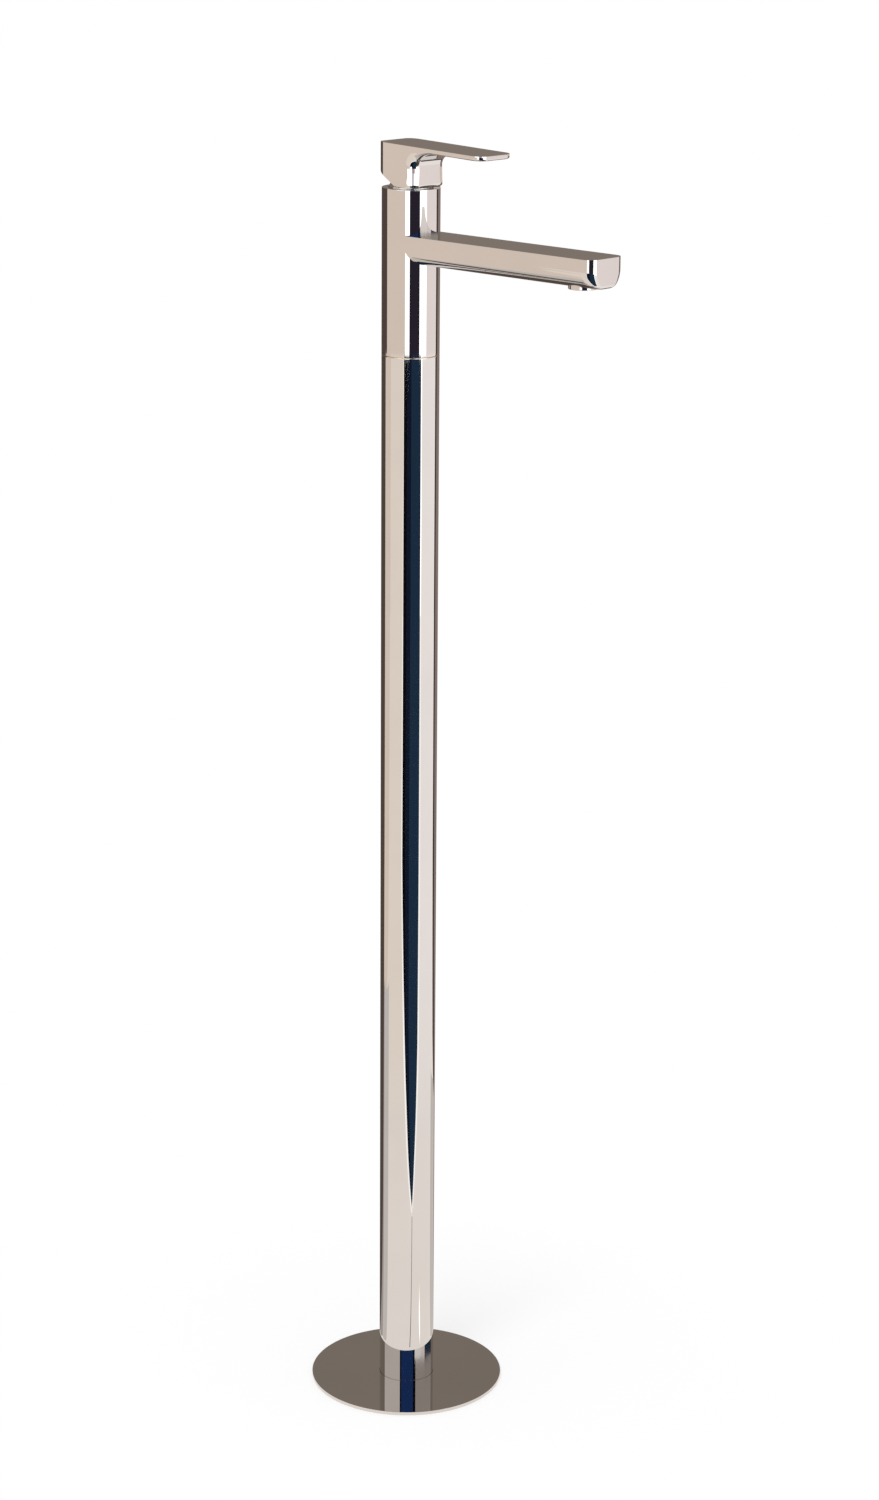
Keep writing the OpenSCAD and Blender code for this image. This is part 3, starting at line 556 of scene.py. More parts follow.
def screw_hole(piece, angle, height, radius=2.5):
    """A hole through the tube's wall at an angle, 90 being the back."""
    out = Vector((math.cos(math.radians(angle)), math.sin(math.radians(angle)), 0))
    start = out * (COLUMN_R - 2 * TUBE_WALL) + Vector((0, 0, height))
    trim(piece, rod("drill", radius, start, start + out * 3 * TUBE_WALL, steps=48))


low, high = (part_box("column_tube")[k].z / MM for k in (0, 1))
column = lathe("column", [(COLUMN_R - TUBE_WALL, low), (COLUMN_R, low), (COLUMN_R, high),
                          (COLUMN_R - TUBE_WALL, high)], steps=ROUND, soft=0.15)
FOOT_SCREW_Z, LOWER_BODY_SCREW_Z, UPPER_BODY_SCREW_Z = 24.0, 949.75, 977.0
END_RING, HOLE_RING, WATER_RING = 0.6, 6.0, 12.0
ring_cuts(column, low + END_RING, FOOT_SCREW_Z - HOLE_RING, FOOT_SCREW_Z + HOLE_RING,
          LOWER_BODY_SCREW_Z - HOLE_RING, LOWER_BODY_SCREW_Z + HOLE_RING, high - END_RING)
for angle in (65, 115):
    screw_hole(column, angle, FOOT_SCREW_Z)
screw_hole(column, 90, LOWER_BODY_SCREW_Z)
show(column, "column_tube", "stand", chrome_tube)

# %% [markdown]
# ## The sleeve
# Above the joint line sits the sleeve, a tube of the same size with a lip at the top. It
# hides the brass valve body. The spout is held against it by a threaded tube and two pins,
# so the sleeve has a hole for each, and a grub screw of its own at the back.

# %% Sleeve
low, high = (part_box("body_shell")[k].z / MM for k in (0, 1))
LIP, LIP_R = 3.0, 19.6
sleeve = lathe("sleeve", [
    (COLUMN_R - TUBE_WALL, low), (COLUMN_R, low), (COLUMN_R, high), (LIP_R, high),
    (LIP_R, high - LIP), (COLUMN_R - TUBE_WALL, high - LIP)], steps=ROUND, soft=0.2)
SPOUT_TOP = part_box("spout")[1].z / MM
SPOUT_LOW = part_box("spout")[0].z / MM
WATER_Z = (SPOUT_TOP + SPOUT_LOW) / 2
ring_cuts(sleeve, low + END_RING, UPPER_BODY_SCREW_Z - HOLE_RING,
          UPPER_BODY_SCREW_Z + HOLE_RING, WATER_Z - WATER_RING, WATER_Z + WATER_RING,
          high - END_RING)
screw_hole(sleeve, 90, UPPER_BODY_SCREW_Z)
WATER_HOLE_R, PIN_HOLE_R, PIN_X = 8.05, 2.05, 13
for x, radius in ((0, WATER_HOLE_R), (-PIN_X, PIN_HOLE_R), (PIN_X, PIN_HOLE_R)):
    trim(sleeve, rod("drill", radius, (x, -COLUMN_R - 2, WATER_Z), (x, -10, WATER_Z)))
show(sleeve, "body_shell", "stand", chrome_tube)

# %% [markdown]
# ## The spout
# The spout is a long, level bar with a flat top and round lower edges. Its end has round
# upright corners, and where the corner meets the round underside the two melt into each
# other. A box with bevels would leave a crease there. Instead, the top outline is pulled
# down in many small steps, and at each step it is made narrower by the amount that the
# round underside asks for. The end pulls back by its own, smaller radius. The outline
# keeps its corners all the way, so they shrink softly into the underside.

# %% Spout
SPOUT_W = (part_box("spout")[1].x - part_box("spout")[0].x) / MM
REACH = -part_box("spout")[0].y / MM
UNDER_R, END_R, CORNER_R, SPOUT_WALL = 15.0, 3.0, 10.0, 2.6
NEAR_END, SPLIT = -2.0, -45


def spout_bar(name, inset, far_end):
    """The spout's solid, or with an inset the hollow inside it."""
    half, top, low = SPOUT_W / 2 - inset, SPOUT_TOP - inset, SPOUT_LOW + inset
    under, end = UNDER_R - inset, max(END_R - inset, 0.5)
    bm = bmesh.new()
    outline = [(-half, NEAR_END), (-half, SPLIT), (-half, -far_end), (half, -far_end),
               (half, SPLIT), (half, NEAR_END)]
    verts = [bm.verts.new((x * MM, y * MM, top * MM)) for x, y in outline]
    bm.faces.new(verts)
    round_corners(bm, [verts[2], verts[3]], (CORNER_R - inset) * MM, 20)
    face, = bm.faces
    steps = [low + under] + [low + under * (1 - math.sin(math.radians(a)))
                             for a in range(4, 91, 4)] + [low]
    now_w = now_y = 1.0
    now_z = top
    for z in steps:
        up = max(low + under - z, 0)
        width = 1 - (under - math.sqrt(max(under ** 2 - up ** 2, 0))) / half
        up = max(low + end - z, 0)
        reach = 1 - (end - math.sqrt(max(end ** 2 - up ** 2, 0))) / far_end
        face = pull_down(bm, face, z - now_z, width / now_w, reach / now_y)
        now_w, now_y, now_z = width, reach, z
    return as_object(name, bm)


spout = spout_bar("spout_bar", 0, REACH)
print("The spout reaches", round(REACH, 1), "mm and is", round(SPOUT_W, 1), "mm wide.")

# %% [markdown]
# ### Hollowing and drilling the spout
# The same bar, a wall thinner all round, becomes the hollow. It loses its root, where the
# spout is solid, and a boss round the outlet. Then the column's shape is cut away, and the
# water way, the bores for threaded tube and pins, and the aerator's seat are drilled. `PAST`
# is how far a tool reaches past the face it cuts, so that it never ends level with it.

# %% Spout hollow
AERATOR_Y, AERATOR_R = -195.0, 12.0
ROOT, PAST, COPE_GAP = COLUMN_R + 13, 9, 0.02
BOSS_WALL, BOSS_H, SEAT_DEPTH, OUTLET_R, WATER_WAY_R = 2, 11, 9, 8, 5
TUBE_BORE_R, TUBE_BORE_DEPTH, PIN_BORE_R, PIN_BORE_DEPTH = 8, 11, 2, 8
hollow = spout_bar("hollow", SPOUT_WALL, REACH - SPOUT_WALL)
trim(hollow, rod("root", 60, (0, 0, WATER_Z), (0, -ROOT, WATER_Z)))
trim(hollow, rod("boss", AERATOR_R + BOSS_WALL, (0, AERATOR_Y, SPOUT_LOW),
                 (0, AERATOR_Y, SPOUT_LOW + BOSS_H)))
trim(spout, hollow)
trim(spout, rod("column shape", COLUMN_R + COPE_GAP, (0, 0, SPOUT_LOW - PAST),
                (0, 0, SPOUT_TOP + PAST), steps=ROUND))
trim(spout, rod("water way", WATER_WAY_R, (0, -ROOT - 1, WATER_Z), (0, 0, WATER_Z)))
for x, radius, deep in ((0, TUBE_BORE_R, TUBE_BORE_DEPTH), (-PIN_X, PIN_BORE_R, PIN_BORE_DEPTH),
                        (PIN_X, PIN_BORE_R, PIN_BORE_DEPTH)):
    trim(spout, rod("drill", radius, (x, 0, WATER_Z), (x, -COLUMN_R - deep, WATER_Z)))
trim(spout, rod("outlet", OUTLET_R, (0, AERATOR_Y, SPOUT_LOW - 1),
                (0, AERATOR_Y, SPOUT_LOW + BOSS_H + 1)))
trim(spout, rod("seat", AERATOR_R, (0, AERATOR_Y, SPOUT_LOW - PAST),
                (0, AERATOR_Y, SPOUT_LOW + SEAT_DEPTH), steps=96))
show(spout, "spout", "stand", chrome_cast, soft=0.3)

# %% [markdown]
# ## The aerator
# Under the spout's end a short round housing holds a plastic insert that mixes air into the
# water. Only the housing's lower rim shows, so it is one lathe profile with a soft lip. The
# insert keeps its CAD mesh, which already has its grid of small square holes.

# %% Aerator
low, high = (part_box("aerator_housing")[k].z / MM for k in (0, 1))
outer, INNER_R, MOUTH_R, MOUTH_H = AERATOR_R - 0.05, 10, 8.5, 1.2
aerator = lathe("aerator_ring", [
    (MOUTH_R, low), (outer, low), (outer, high), (INNER_R, high), (INNER_R, low + MOUTH_H),
    (MOUTH_R, low + MOUTH_H)], steps=96, centre=(0, AERATOR_Y), soft=0.5)
show(aerator, "aerator_housing", "stand", chrome_cast)

# %% [markdown]
# ## The dome under the lever
# Between sleeve and lever a chromed dome closes the valve. The lever's hollow glides over
# it. It is part of a ball on a short neck, with a hole at the top for the stem. The profile
# walks up the outside of the ball and down the inside.

# %% Dome
PIVOT_Z = 1096.0
DOME_R, DOME_WALL, NECK_R, HOLE_R = 21.2, 1.2, 19.25, 13.0
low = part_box("dome_cover")[0].z / MM


def dome_arc(radius, neck, steps=14):
    """Points on the ball from the neck up to the hole."""
    start, end = math.acos(neck / radius), math.acos(HOLE_R / radius)
    turns = [start + (end - start) * k / steps for k in range(steps + 1)]
    return [(radius * math.cos(t), PIVOT_Z + radius * math.sin(t)) for t in turns]


inside = dome_arc(DOME_R - DOME_WALL, NECK_R - 1)
dome = lathe("dome", [(NECK_R - 1, low), (NECK_R, low)] + dome_arc(DOME_R, NECK_R)
             + inside[::-1], steps=160)
show(dome, "dome_cover", "stand", chrome_cast)

# %% [markdown]
# ## The lever
# The lever is one casting: a block with round upright corners sits over the dome, and a
# thin blade runs forward from its top. Between the two the metal flows. The block's front
# sweeps forward into the blade's underside, tightly at first and then gently, and the
# round corner of the block dies away into the thin round edge of the blade. No bevel does
# that, because its radius changes on the way. So the front is lofted: cross-sections
# stand along the sweep like ribs in a boat, and `bridge_loops` lays the skin between them.

# %% Lever sizes
lever_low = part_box("lever_handle")[0]
LEVER_W = 42.0
FRONT, TIP, BACK = -22.0, lever_low.y / MM, 21.5
FRONT_DROP, LEVER_H = 1.6, 35.2
LOW_Z = lever_low.z / MM
LEVER_Z = LOW_Z + FRONT_DROP
LEVER_TOP = LEVER_Z + LEVER_H
TOP_SLOPE, BACK_LEAN, BACK_RISE = math.radians(2), math.radians(2.4), math.radians(32)
BLADE_T, EDGE_R, BLADE_EDGE_R, TOP_EDGE = 4.0, 3.5, 1.7, 0.7
FOOT_Z = LEVER_Z + BACK * math.tan(BACK_RISE)
half = LEVER_W / 2


def top_at(y):
    return LEVER_TOP + y * math.tan(TOP_SLOPE)


def back_at(z):
    return BACK - (z - FOOT_Z) * math.tan(BACK_LEAN)


print("The blade's tip is", round(top_at(TIP) - BLADE_T - SPOUT_TOP, 1), "mm above the spout.")

# %% [markdown]
# ### The sweep
# Each rib is a deep U with round corners. The first ribs lie flat, one above the other, up
# the block's front, and grow out of its round lower edge. The next ones tip forward along a
# tight arc, and the last ones along a wide arc, whose radius is worked out so that it ends
# in line with the blade's underside. On the way the round corners shrink.

# %% Lever sweep
SWEEP_Z = LEVER_Z + 17.2
TIGHT_R, TIGHT_TURN = 7.5, 55
CORNER_TOP, CORNER_KNEE, CORNER_SWELL, SIDE_EDGE_R = 10.6, 8.0, 1.6, 1.2
CORNER_FADE, RUN_OUT, INTO_BLADE = 1.6, 4, 0.2
FLAT_TURN = 90 + math.degrees(TOP_SLOPE)


def loft(name, sections):
    """Skins closed sections, in millimetres, that stand one after the other."""
    bm = bmesh.new()
    rings = []
    for section in sections:
        verts = [bm.verts.new(Vector(spot) * MM) for spot in section]
        rings.append([bm.edges.new(pair) for pair in zip(verts, verts[1:] + verts[:1])])
        if section in (sections[0], sections[-1]):
            bm.faces.new(verts)
    for first, second in zip(rings, rings[1:]):
        bmesh.ops.bridge_loops(bm, edges=first + second)
    return as_object(name, bm)


def rib(y, z, turn, radius, inset=0.0, deep=50, steps=14):
    """One section. It leans with the sweep: turn is 0 on the upright front and 90 below."""
    arc = [math.radians(90 * k / steps) for k in range(steps + 1)]
    wide = half - inset
    side = [(wide - radius + radius * math.sin(t), radius - radius * math.cos(t)) for t in arc]
    side.append((wide, deep))
    flat = side + [(-x, depth) for x, depth in reversed(side)]
    c, s = math.cos(math.radians(turn)), math.sin(math.radians(turn))
    return [(x, y + depth * c, z + depth * s) for x, depth in flat]


def round_in(radius, up):
    """How far a round edge has drawn back at a height above its foot."""
    return radius - math.sqrt(radius ** 2 - max(radius - up, 0) ** 2)


ribs = []
foot = [EDGE_R * (1 - math.cos(math.radians(9 * k))) for k in range(11)]
for up in foot + [5, 7, 9, 11, 13, 15, 17, SWEEP_Z - LOW_Z]:
    swell = 1 - up / (SWEEP_Z - LOW_Z)
    ribs.append(rib(FRONT + round_in(EDGE_R, up), LOW_Z + up, 0,
                    CORNER_TOP - CORNER_SWELL * swell ** 2, round_in(SIDE_EDGE_R, up)))
for turn in range(5, TIGHT_TURN + 1, 5):
    t = math.radians(turn)
    y, z = FRONT - TIGHT_R * (1 - math.cos(t)), SWEEP_Z + TIGHT_R * math.sin(t)
    ribs.append(rib(y, z, turn, CORNER_TOP + (CORNER_KNEE - CORNER_TOP) * turn / TIGHT_TURN))
knee_y, knee_z, knee = y, z, t
flat = math.radians(FLAT_TURN)
rise = (math.sin(flat) - math.sin(knee)) - math.tan(TOP_SLOPE) * (math.cos(flat)
                                                                  - math.cos(knee))
gentle_r = (top_at(knee_y) - BLADE_T - knee_z) / rise
steps = 12
for k in range(1, steps + 1):
    t = knee + (flat - knee) * k / steps
    y = knee_y + gentle_r * (math.cos(t) - math.cos(knee))
    z = knee_z + gentle_r * (math.sin(t) - math.sin(knee))
    radius = BLADE_EDGE_R + (CORNER_KNEE - BLADE_EDGE_R) * (1 - k / steps) ** CORNER_FADE
    ribs.append(rib(y, z, math.degrees(t), radius))
sweep_end = y - RUN_OUT
ribs.append(rib(sweep_end, top_at(sweep_end) - BLADE_T + INTO_BLADE, FLAT_TURN,
                BLADE_EDGE_R))
print("The gentle part of the sweep has a radius of", round(gentle_r, 1), "mm.")

# %% [markdown]
# ### Cutting the sweep to the block, and the blade
# The lofted ribs reach far past the block's top and back. An outline from above, with the
# two round back corners, and an outline from the side, with the climbing underside, cut
# them to size. The blade is made like the spout: its outline from above is pulled down,
# narrower at each of the last steps, so that the round tip keeps an even round edge. It is
# then sheared to the slope of the top.

# %% Lever block and blade
sunk = BLADE_T / 2
back_z = top_at(BACK) - sunk
block = loft("lever", ribs)
trim(block, prism("plan", [(-half - 1, sweep_end + 0.1), (half + 1, sweep_end + 0.1),
                           (half + 1, 0), (half, 0), (half, BACK), (-half, BACK), (-half, 0),
                           (-half - 1, 0)],
                  LOW_Z - 2, LEVER_TOP + 3, radii=[(4, CORNER_R), (5, CORNER_R)],
                  segments=16), "INTERSECT")
trim(block, prism("side", [
    (FRONT - 1, LOW_Z - 1), (FRONT + EDGE_R + 0.3, LOW_Z), (0, LEVER_Z), (BACK, FOOT_Z),
    (back_at(back_z), back_z), (sweep_end, top_at(sweep_end) - sunk), (sweep_end, SWEEP_Z)],
    -half - 1, half + 1, along="X"), "INTERSECT")


def round_blade():
    outline = [(-half, TIP), (half, TIP), (half, BACK), (-half, BACK)]
    bm = bmesh.new()
    verts = [bm.verts.new((x * MM, y * MM, 0)) for x, y in outline]
    bm.faces.new(verts)
    round_corners(bm, verts, CORNER_R * MM, 16)
    face, = bm.faces
    now_z = now = 0.0
    for a in range(0, 91, 10):
        t = math.radians(a)
        z = -BLADE_T + BLADE_EDGE_R * (1 - math.sin(t))
        inset = BLADE_EDGE_R * (1 - math.cos(t))
        face = pull_down(bm, face, z - now_z, (half - inset) / (half - now),
                         (TIP + inset) / (TIP + now))
        now_z, now = z, inset
    slope = Matrix.Identity(4)
    slope[2][1], slope[2][3] = math.tan(TOP_SLOPE), LEVER_TOP * MM
    bmesh.ops.transform(bm, matrix=slope, verts=bm.verts)
    return as_object("blade", bm)


blade = round_blade()
heel = back_at(top_at(BACK))
trim(blade, prism("side", [
    (heel, top_at(heel) + 1), (back_at(top_at(heel) - 5), top_at(heel) - 5),
    (TIP - 1, top_at(TIP) - 6), (TIP - 1, top_at(heel) + 1)], -half - 1, half + 1, along="X"),
    "INTERSECT")
trim(block, blade, "UNION")
tidy(block)
edge = block.modifiers.new("polished edges", "BEVEL")
edge.width, edge.segments, edge.limit_method = TOP_EDGE * MM, 3, "ANGLE"
edge.angle_limit = math.radians(35)
settle(block)
print("The lever's outside has", len(block.data.polygons), "faces.")

# %% [markdown]
# ### The lever's hollow, stem socket and screw hole
# From below, a ball-shaped hollow leaves 0.6 mm round the dome. A throat above it makes room
# for the stem, which at rest leans forward by half of the lift. The stem ends in a square
# socket. A grub screw at the back locks it, and a small grey plug covers the screw.

# %% Lever hollow
STEM_LEAN, DOME_GAP = math.radians(12.5), 0.6
THROAT_R, THROAT_TOP = 13, 1121.5
SOCKET_SIDE, SOCKET_FROM, SOCKET_TO = 8.1, 18, 36.5
SCREW_UP, SCREW_R, SCREW_FROM, PAST_BACK = 27.0, 2.5, 3, 45
PLUG_R, PLUG_DEPTH = 3.5, 3.5


def on_stem(y, z, x=0.0):
    """A point given along the leaning stem, in the tap's own frame."""
    c, s = math.cos(STEM_LEAN), math.sin(STEM_LEAN)
    return Vector((x, y * c - z * s, PIVOT_Z + y * s + z * c))


def ball(name, radius, at, cuts=6):
    bm = bmesh.new()
    bmesh.ops.create_icosphere(bm, subdivisions=cuts, radius=radius * MM,
                               matrix=Matrix.Translation(Vector(at) * MM))
    return as_object(name, bm)


trim(block, ball("hollow", DOME_R + DOME_GAP, (0, 0, PIVOT_Z)))
trim(block, rod("throat", THROAT_R, (0, 0, LOW_Z - 2), (0, 0, THROAT_TOP)))
trim(block, rod("socket", SOCKET_SIDE / math.sqrt(2), on_stem(0, SOCKET_FROM),
                on_stem(0, SOCKET_TO), steps=4))
trim(block, rod("screw way", SCREW_R, on_stem(SCREW_FROM, SCREW_UP),
                on_stem(PAST_BACK, SCREW_UP), steps=48))
plug_start = (BACK + SCREW_UP * math.sin(STEM_LEAN)) / math.cos(STEM_LEAN) - PLUG_DEPTH
trim(block, rod("plug way", PLUG_R, on_stem(plug_start, SCREW_UP),
                on_stem(PAST_BACK, SCREW_UP), steps=64))
show(block, "lever_handle", "lever", chrome_cast, soft=0.2, sharp=35)

# %% [markdown]
# ## A studio for chrome
# Chrome has no colour of its own, it only shows the room. A photographer therefore hangs
# cards round a tap: white ones for clean bright bands, dark ones for crisp edges, and warm
# ones to take the chill off. We do the same. The cards stand on a ring 3 m from the tap, lie
# on the floor and hang overhead. They are seen only in reflections, so the picture's
# background stays plain white, and they cast no shadow. An angle of 0 is the camera's own
# direction, and angles grow towards the right of the picture.

# %% Cards
RING, GLOW, WINDOW = 3.0, 1.45, 2.1
FACING = math.atan2(PLACE.y, PLACE.x)


def linear(colour):
    """Screen values from 0 to 255 as light."""
    return [((v / 255 + 0.055) / 1.055) ** 2.4 if v > 10 else v / 255 / 12.92 for v in colour]


def card_finish(name, colour):
    """Cards glow a little more than their colour, because chrome swallows a third of it."""
    f = Finish("card_" + name)
    f.surface(f.glow((*linear(colour), 1), WINDOW if colour == WHITE else GLOW))
    return f.material


def hang(name, bm, colour):
    card = as_object("card_" + name, bm)
    card.data.materials.append(card_finish(name, colour))
    card.visible_camera = card.visible_diffuse = card.visible_shadow = False
    card.visible_transmission = card.visible_volume_scatter = False
    return card


def wall_row(name, low, high, *strips):
    """A ring of curved cards between two heights in metres. Each strip names the angle
    where it starts and its colour, and it ends where the next one starts."""
    ends = [start for start, _ in strips[1:]] + [strips[0][0] + 360]
    for (start, colour), end in zip(strips, ends):
        bm = bmesh.new()
        turn = FACING + math.radians(start)
        spot = (RING * math.cos(turn), RING * math.sin(turn))
        edge = bm.edges.new([bm.verts.new((*spot, z)) for z in (low, high)])
        bmesh.ops.spin(bm, geom=[*edge.verts, edge], cent=(0, 0, 0), axis=(0, 0, 1),
                       angle=math.radians(end - start), steps=max(2, int((end - start) / 3)))
        hang(f"{name}_{round(start) % 360}", bm, colour)


def floor_card(name, corners, colour, layer, height=0.0002):
    """A flat card. Each corner is a distance in metres and an angle; layers lie stacked."""
    bm = bmesh.new()
    spots = [(far, FACING + math.radians(turn)) for far, turn in corners]
    bm.faces.new([bm.verts.new((far * math.cos(turn), far * math.sin(turn),
                                height + 0.0001 * layer)) for far, turn in spots])
    bmesh.ops.triangulate(bm, faces=bm.faces)
    return hang(name, bm, colour)


BROWN, TAUPE, UMBER, LINE = (74, 63, 58), (122, 108, 101), (113, 104, 96), (58, 48, 47)
BEIGE, LINEN, CREAM, WHITE = (204, 190, 178), (216, 204, 193), (238, 230, 223), (255, 255, 255)
PEWTER, DOVE, SHELL, MILK = (147, 141, 137), (184, 177, 172), (217, 209, 203), (246, 244, 240)
PINK, PEARL, SLATE, MAUVE = (220, 209, 207), (227, 220, 217), (190, 182, 176), (160, 142, 152)
NAVY, DEEP, NIGHT, BLUE = (26, 43, 62), (15, 22, 38), (36, 31, 42), (24, 46, 90)
INK, SUEDE, OLIVE, ASH = (9, 9, 12), (198, 183, 170), (74, 70, 64), (148, 139, 133)
print("Cards stand", RING, "m from the tap.")

# %% [markdown]
# The ring of cards follows what a bathroom shows round such a tap: a dark wall behind it, a
# warm wall to the left, a pale one to the right, and beside the camera a dark screen
# between two bright windows. The windows start above the knee-high foot of the screen and
# widen at the height of the lever. The sleeve shows the second row, the column the lowest,
# and the faces that look up show the rows near the ceiling.

# %% Hang the wall cards
FOOT, LEDGE, CHEST, PICTURE, HEAD, BEAM, CEILING = 0.466, 0.80, 0.90, 1.05, 1.28, 1.456, 2.8
wall_row("skirting", 0, FOOT, (-180, BROWN), (-116, BEIGE), (-84, LINEN), (-28.5, CREAM),
         (-25.5, INK), (-13, DEEP), (4, NAVY), (43, WHITE), (47, PEARL), (117, LINE),
         (128, TAUPE))
wall_row("waist", FOOT, LEDGE, (-180, BROWN), (-107, BEIGE), (-22, WHITE), (-5, NIGHT),
         (35, WHITE), (64, PINK), (119, LINE), (131, TAUPE))
wall_row("ledge", LEDGE, CHEST, (-180, BROWN), (-107, BEIGE), (-46, WHITE), (-4, MAUVE),
         (22, WHITE), (66, PINK), (108, SUEDE))
wall_row("chest", CHEST, PICTURE, (-180, BROWN), (-107, BEIGE), (-64, WHITE), (-2, MAUVE),
         (13, WHITE), (70, PINK), (108, SUEDE))
wall_row("head", PICTURE, HEAD, (-180, BROWN), (-107, BEIGE), (-56, WHITE), (-2, MAUVE),
         (13, WHITE), (66, PINK), (108, SUEDE))
wall_row("lintel", HEAD, BEAM, (-180, UMBER), (-107, SLATE), (-28, INK), (-22, BLUE),
         (29, INK), (36, PEARL), (64, PINK), (85, NAVY), (131, UMBER))
wall_row("ceiling", BEAM, CEILING, (-180, UMBER), (-107, SLATE), (-28, INK), (-22, BLUE),
         (29, INK), (40, ASH), (131, UMBER))
print("Seven rows of cards reach from the floor to", CEILING, "m.")

# %% [markdown]
# The floor shows in the column's lower half. The camera looks down on the tap, so each
# height of the column mirrors one distance on the floor: knee height shows what lies a good
# metre away, and the foot what lies beside the rose. A dark card that narrows towards the
# tap therefore paints a long dark reflected wedge down the column, and a wider pale one
# under it paints a white line on each side. A thin dark card paints a dark line from the
# wedge's tip to the foot, a small white one paints a highlight near the foot, and grey cards
# near the rose paint shade on the column's foot.

# %% Lay the floor cards
# Painted reflection: the dark cards below paint the long dark wedge down the column, and the
# milky one paints a white line on each side of it.
floor_card("wedge_reflection", [(4.5, 4), (1.6, 2), (1.0, 3), (0.7, 8), (0.43, 21), (0.55, 29),
                      (0.7, 36), (0.9, 41), (1.6, 43), (4.5, 43)], NAVY, 5)
floor_card("wedge_reflection_dark", [(4.5, -13), (1.6, -14), (1.0, -9), (0.7, 1), (0.425, 21),
                           (1.0, 10), (4.5, 10)], DEEP, 4)
floor_card("wedge_reflection_edge", [(4.5, -25.5), (1.6, -25.5), (1.0, -15), (0.7, -3.5), (0.42, 21),
                           (1.0, 0), (4.5, 0)], INK, 3)
floor_card("wedge_reflection_glow", [(4.5, -28.5), (1.6, -29.5), (1.0, -21), (0.7, -10), (0.40, 21),
                           (0.55, 34), (0.7, 42), (0.9, 47), (1.6, 49), (4.5, 48)], MILK, 2)
# Painted reflection: a thin dark card that paints a dark line down the column's foot.
floor_card("dark_line_reflection", [(0.43, 20), (0.43, 22), (0.1, 14), (0.1, 11)], TAUPE, 2)
# Painted highlight: a small white card that paints a bright mark low on the column.
floor_card("highlight_reflection", [(0.1, 53), (0.16, 51), (0.24, 53), (0.16, 55)], WHITE, 2)
floor_card("behind_left", [(4.5, -116), (3.2, -116), (2.1, -124), (0.95, -129), (0.7, -140),
                           (0.35, -143), (0.1, -144), (0.1, -180), (4.5, -180), (6, -145)],
           BROWN, 3)
floor_card("behind_right", [(4.5, 128), (2.7, 128), (1.2, 136), (0.7, 150), (0.35, 150),
                            (0.1, 152), (0.1, 180), (4.5, 180), (6, 155)], TAUPE, 3)
floor_card("line_right", [(4.5, 117), (1.6, 119), (0.9, 127), (0.7, 140), (0.8, 150),
                          (4.5, 135)], LINE, 2)
floor_card("left_shade", [(6, -84), (1.3, -90), (0.85, -108), (0.9, -131), (6, -131)],
           BEIGE, 1)
floor_card("left_pewter", [(0.1, -114), (1.1, -114), (1.0, -131), (0.1, -150)], PEWTER, 2)
floor_card("left_dove", [(0.1, -86), (1.1, -86), (1.1, -114), (0.1, -114)], DOVE, 2)
floor_card("right_dove", [(0.1, 114), (0.8, 114), (0.8, 150), (0.1, 155)], DOVE, 1)
floor_card("ceiling", [(5, k) for k in range(0, 360, 30)], OLIVE, 0, height=CEILING)
print("The floor cards and the ceiling are in place.")

# %% [markdown]
# The boards lie under all the other cards. Their tone changes with the distance from the
# tap, and further out also from left to right, so they get a finish of their own.

# %% Boards
boards = floor_card("boards", [(7, 45), (7, 135), (7, 225), (7, 315)], SHELL, 0)
f = Finish("boards")
x, y, _ = f.axes()
side = x * RIGHT.x + y * RIGHT.y
wide = f.blend(side.clip(-0.3, 0.3), linear(LINEN), linear(PEARL))
f.surface(f.glow(f.blend(f.reach().clip(0.2, 1.2), linear(SHELL), wide), GLOW))
boards.data.materials[0] = f.material
print("The boards are in place.")

# %% [markdown]
# ## Floor, background and lamps
# The floor is pale and keeps the tap's soft shadow near the foot. Further out it glows as
# white as the background, so no horizon shows. Light Path says what kind of ray is looking:
# the camera and mirror rays see white, while the light that falls on the tap comes from the
# same white sky at a plain level and from one large soft lamp.

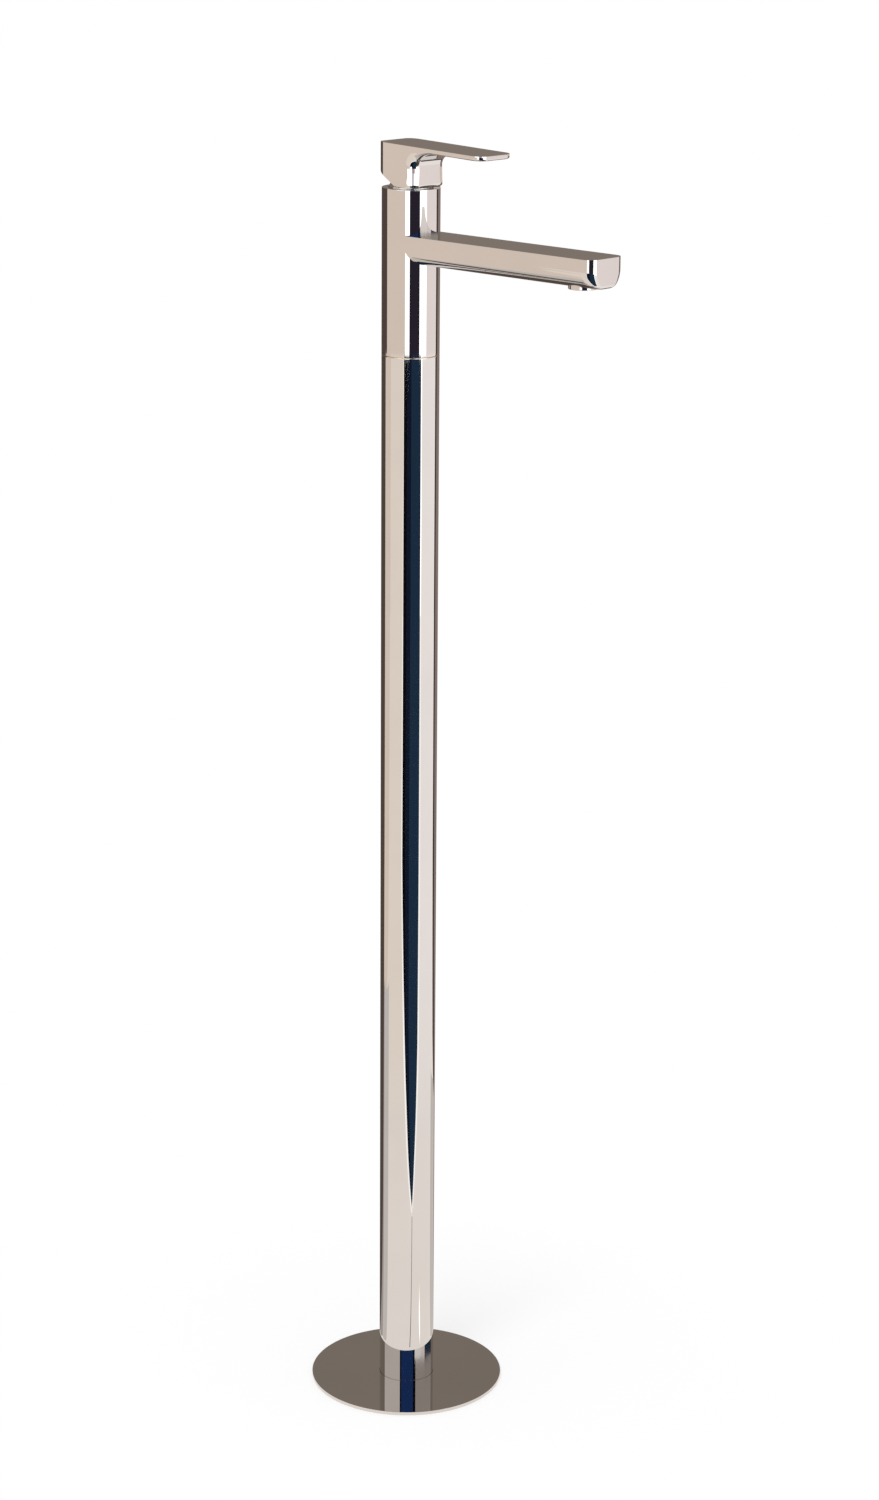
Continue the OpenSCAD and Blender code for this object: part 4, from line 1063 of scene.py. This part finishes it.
# %% Floor
def seen(f):
    """1 for rays that look at the background, from the camera or by way of a mirror."""
    path = f.node("ShaderNodeLightPath").socket.node
    total = Number(f, path.outputs["Is Camera Ray"])
    for kind in ("Is Glossy Ray", "Is Transmission Ray"):
        total = total.math("MAXIMUM", total, Number(f, path.outputs[kind]))
    return total


def pale_floor():
    f = Finish("pale_floor", Roughness=0.9, Specular_IOR_Level=0.0)
    grain = f.noise(400, 2)
    f.feed("Base Color", f.blend(grain, (0.86, 0.86, 0.86), (0.90, 0.90, 0.90)))
    white = seen(f) * (0.55 + 0.45 * f.reach().clip(0.10, 0.40))
    shader = Number(f, f.shader.outputs["BSDF"])
    f.surface(f.node("ShaderNodeMixShader", sockets={
        0: white, 1: shader, 2: f.glow((1, 1, 1, 1), 1.0)}))
    return f.material


bm = bmesh.new()
bmesh.ops.create_grid(bm, x_segments=1, y_segments=1, size=12,
                      matrix=Matrix.Translation((0, 0, -0.0001)))
floor = as_object("floor", bm)
floor.data.materials.append(pale_floor())
print("The floor glows white beyond the tap's shadow.")

# %% [markdown]
# The sky is one plain white, a little dimmer as a light than as a background. The lamp hangs
# to the left of the tap, hidden from the camera and from mirror rays.

# %% Sky and lamp
def white_sky(ambient=0.85):
    world = bpy.data.worlds.new("studio")
    bpy.context.scene.world = world
    world.use_nodes = True
    f = Graph(world.node_tree)
    back = f.tree.nodes["Background"]
    strength = ambient + (1 - ambient) * seen(f)
    f.tree.links.new(strength.socket, back.inputs["Strength"])
    back.inputs["Color"].default_value = (1, 1, 1, 1)


def soft_lamp(name, place, size, power):
    data = bpy.data.lights.new(name, "AREA")
    data.size, data.energy = size, power
    lamp = bpy.data.objects.new(name, data)
    lamp.location = place
    lamp.rotation_mode = "QUATERNION"
    lamp.rotation_quaternion = (Vector((0, 0, 0.6)) - lamp.location).to_track_quat("-Z", "Y")
    lamp.visible_glossy = lamp.visible_camera = False
    bpy.context.scene.collection.objects.link(lamp)


white_sky()
soft_lamp("key", Vector((-2.2, -0.8, 3.2)), 1.6, 60)
bpy.context.scene.view_settings.view_transform = "Standard"
print("Floor, sky and lamp are in place.")
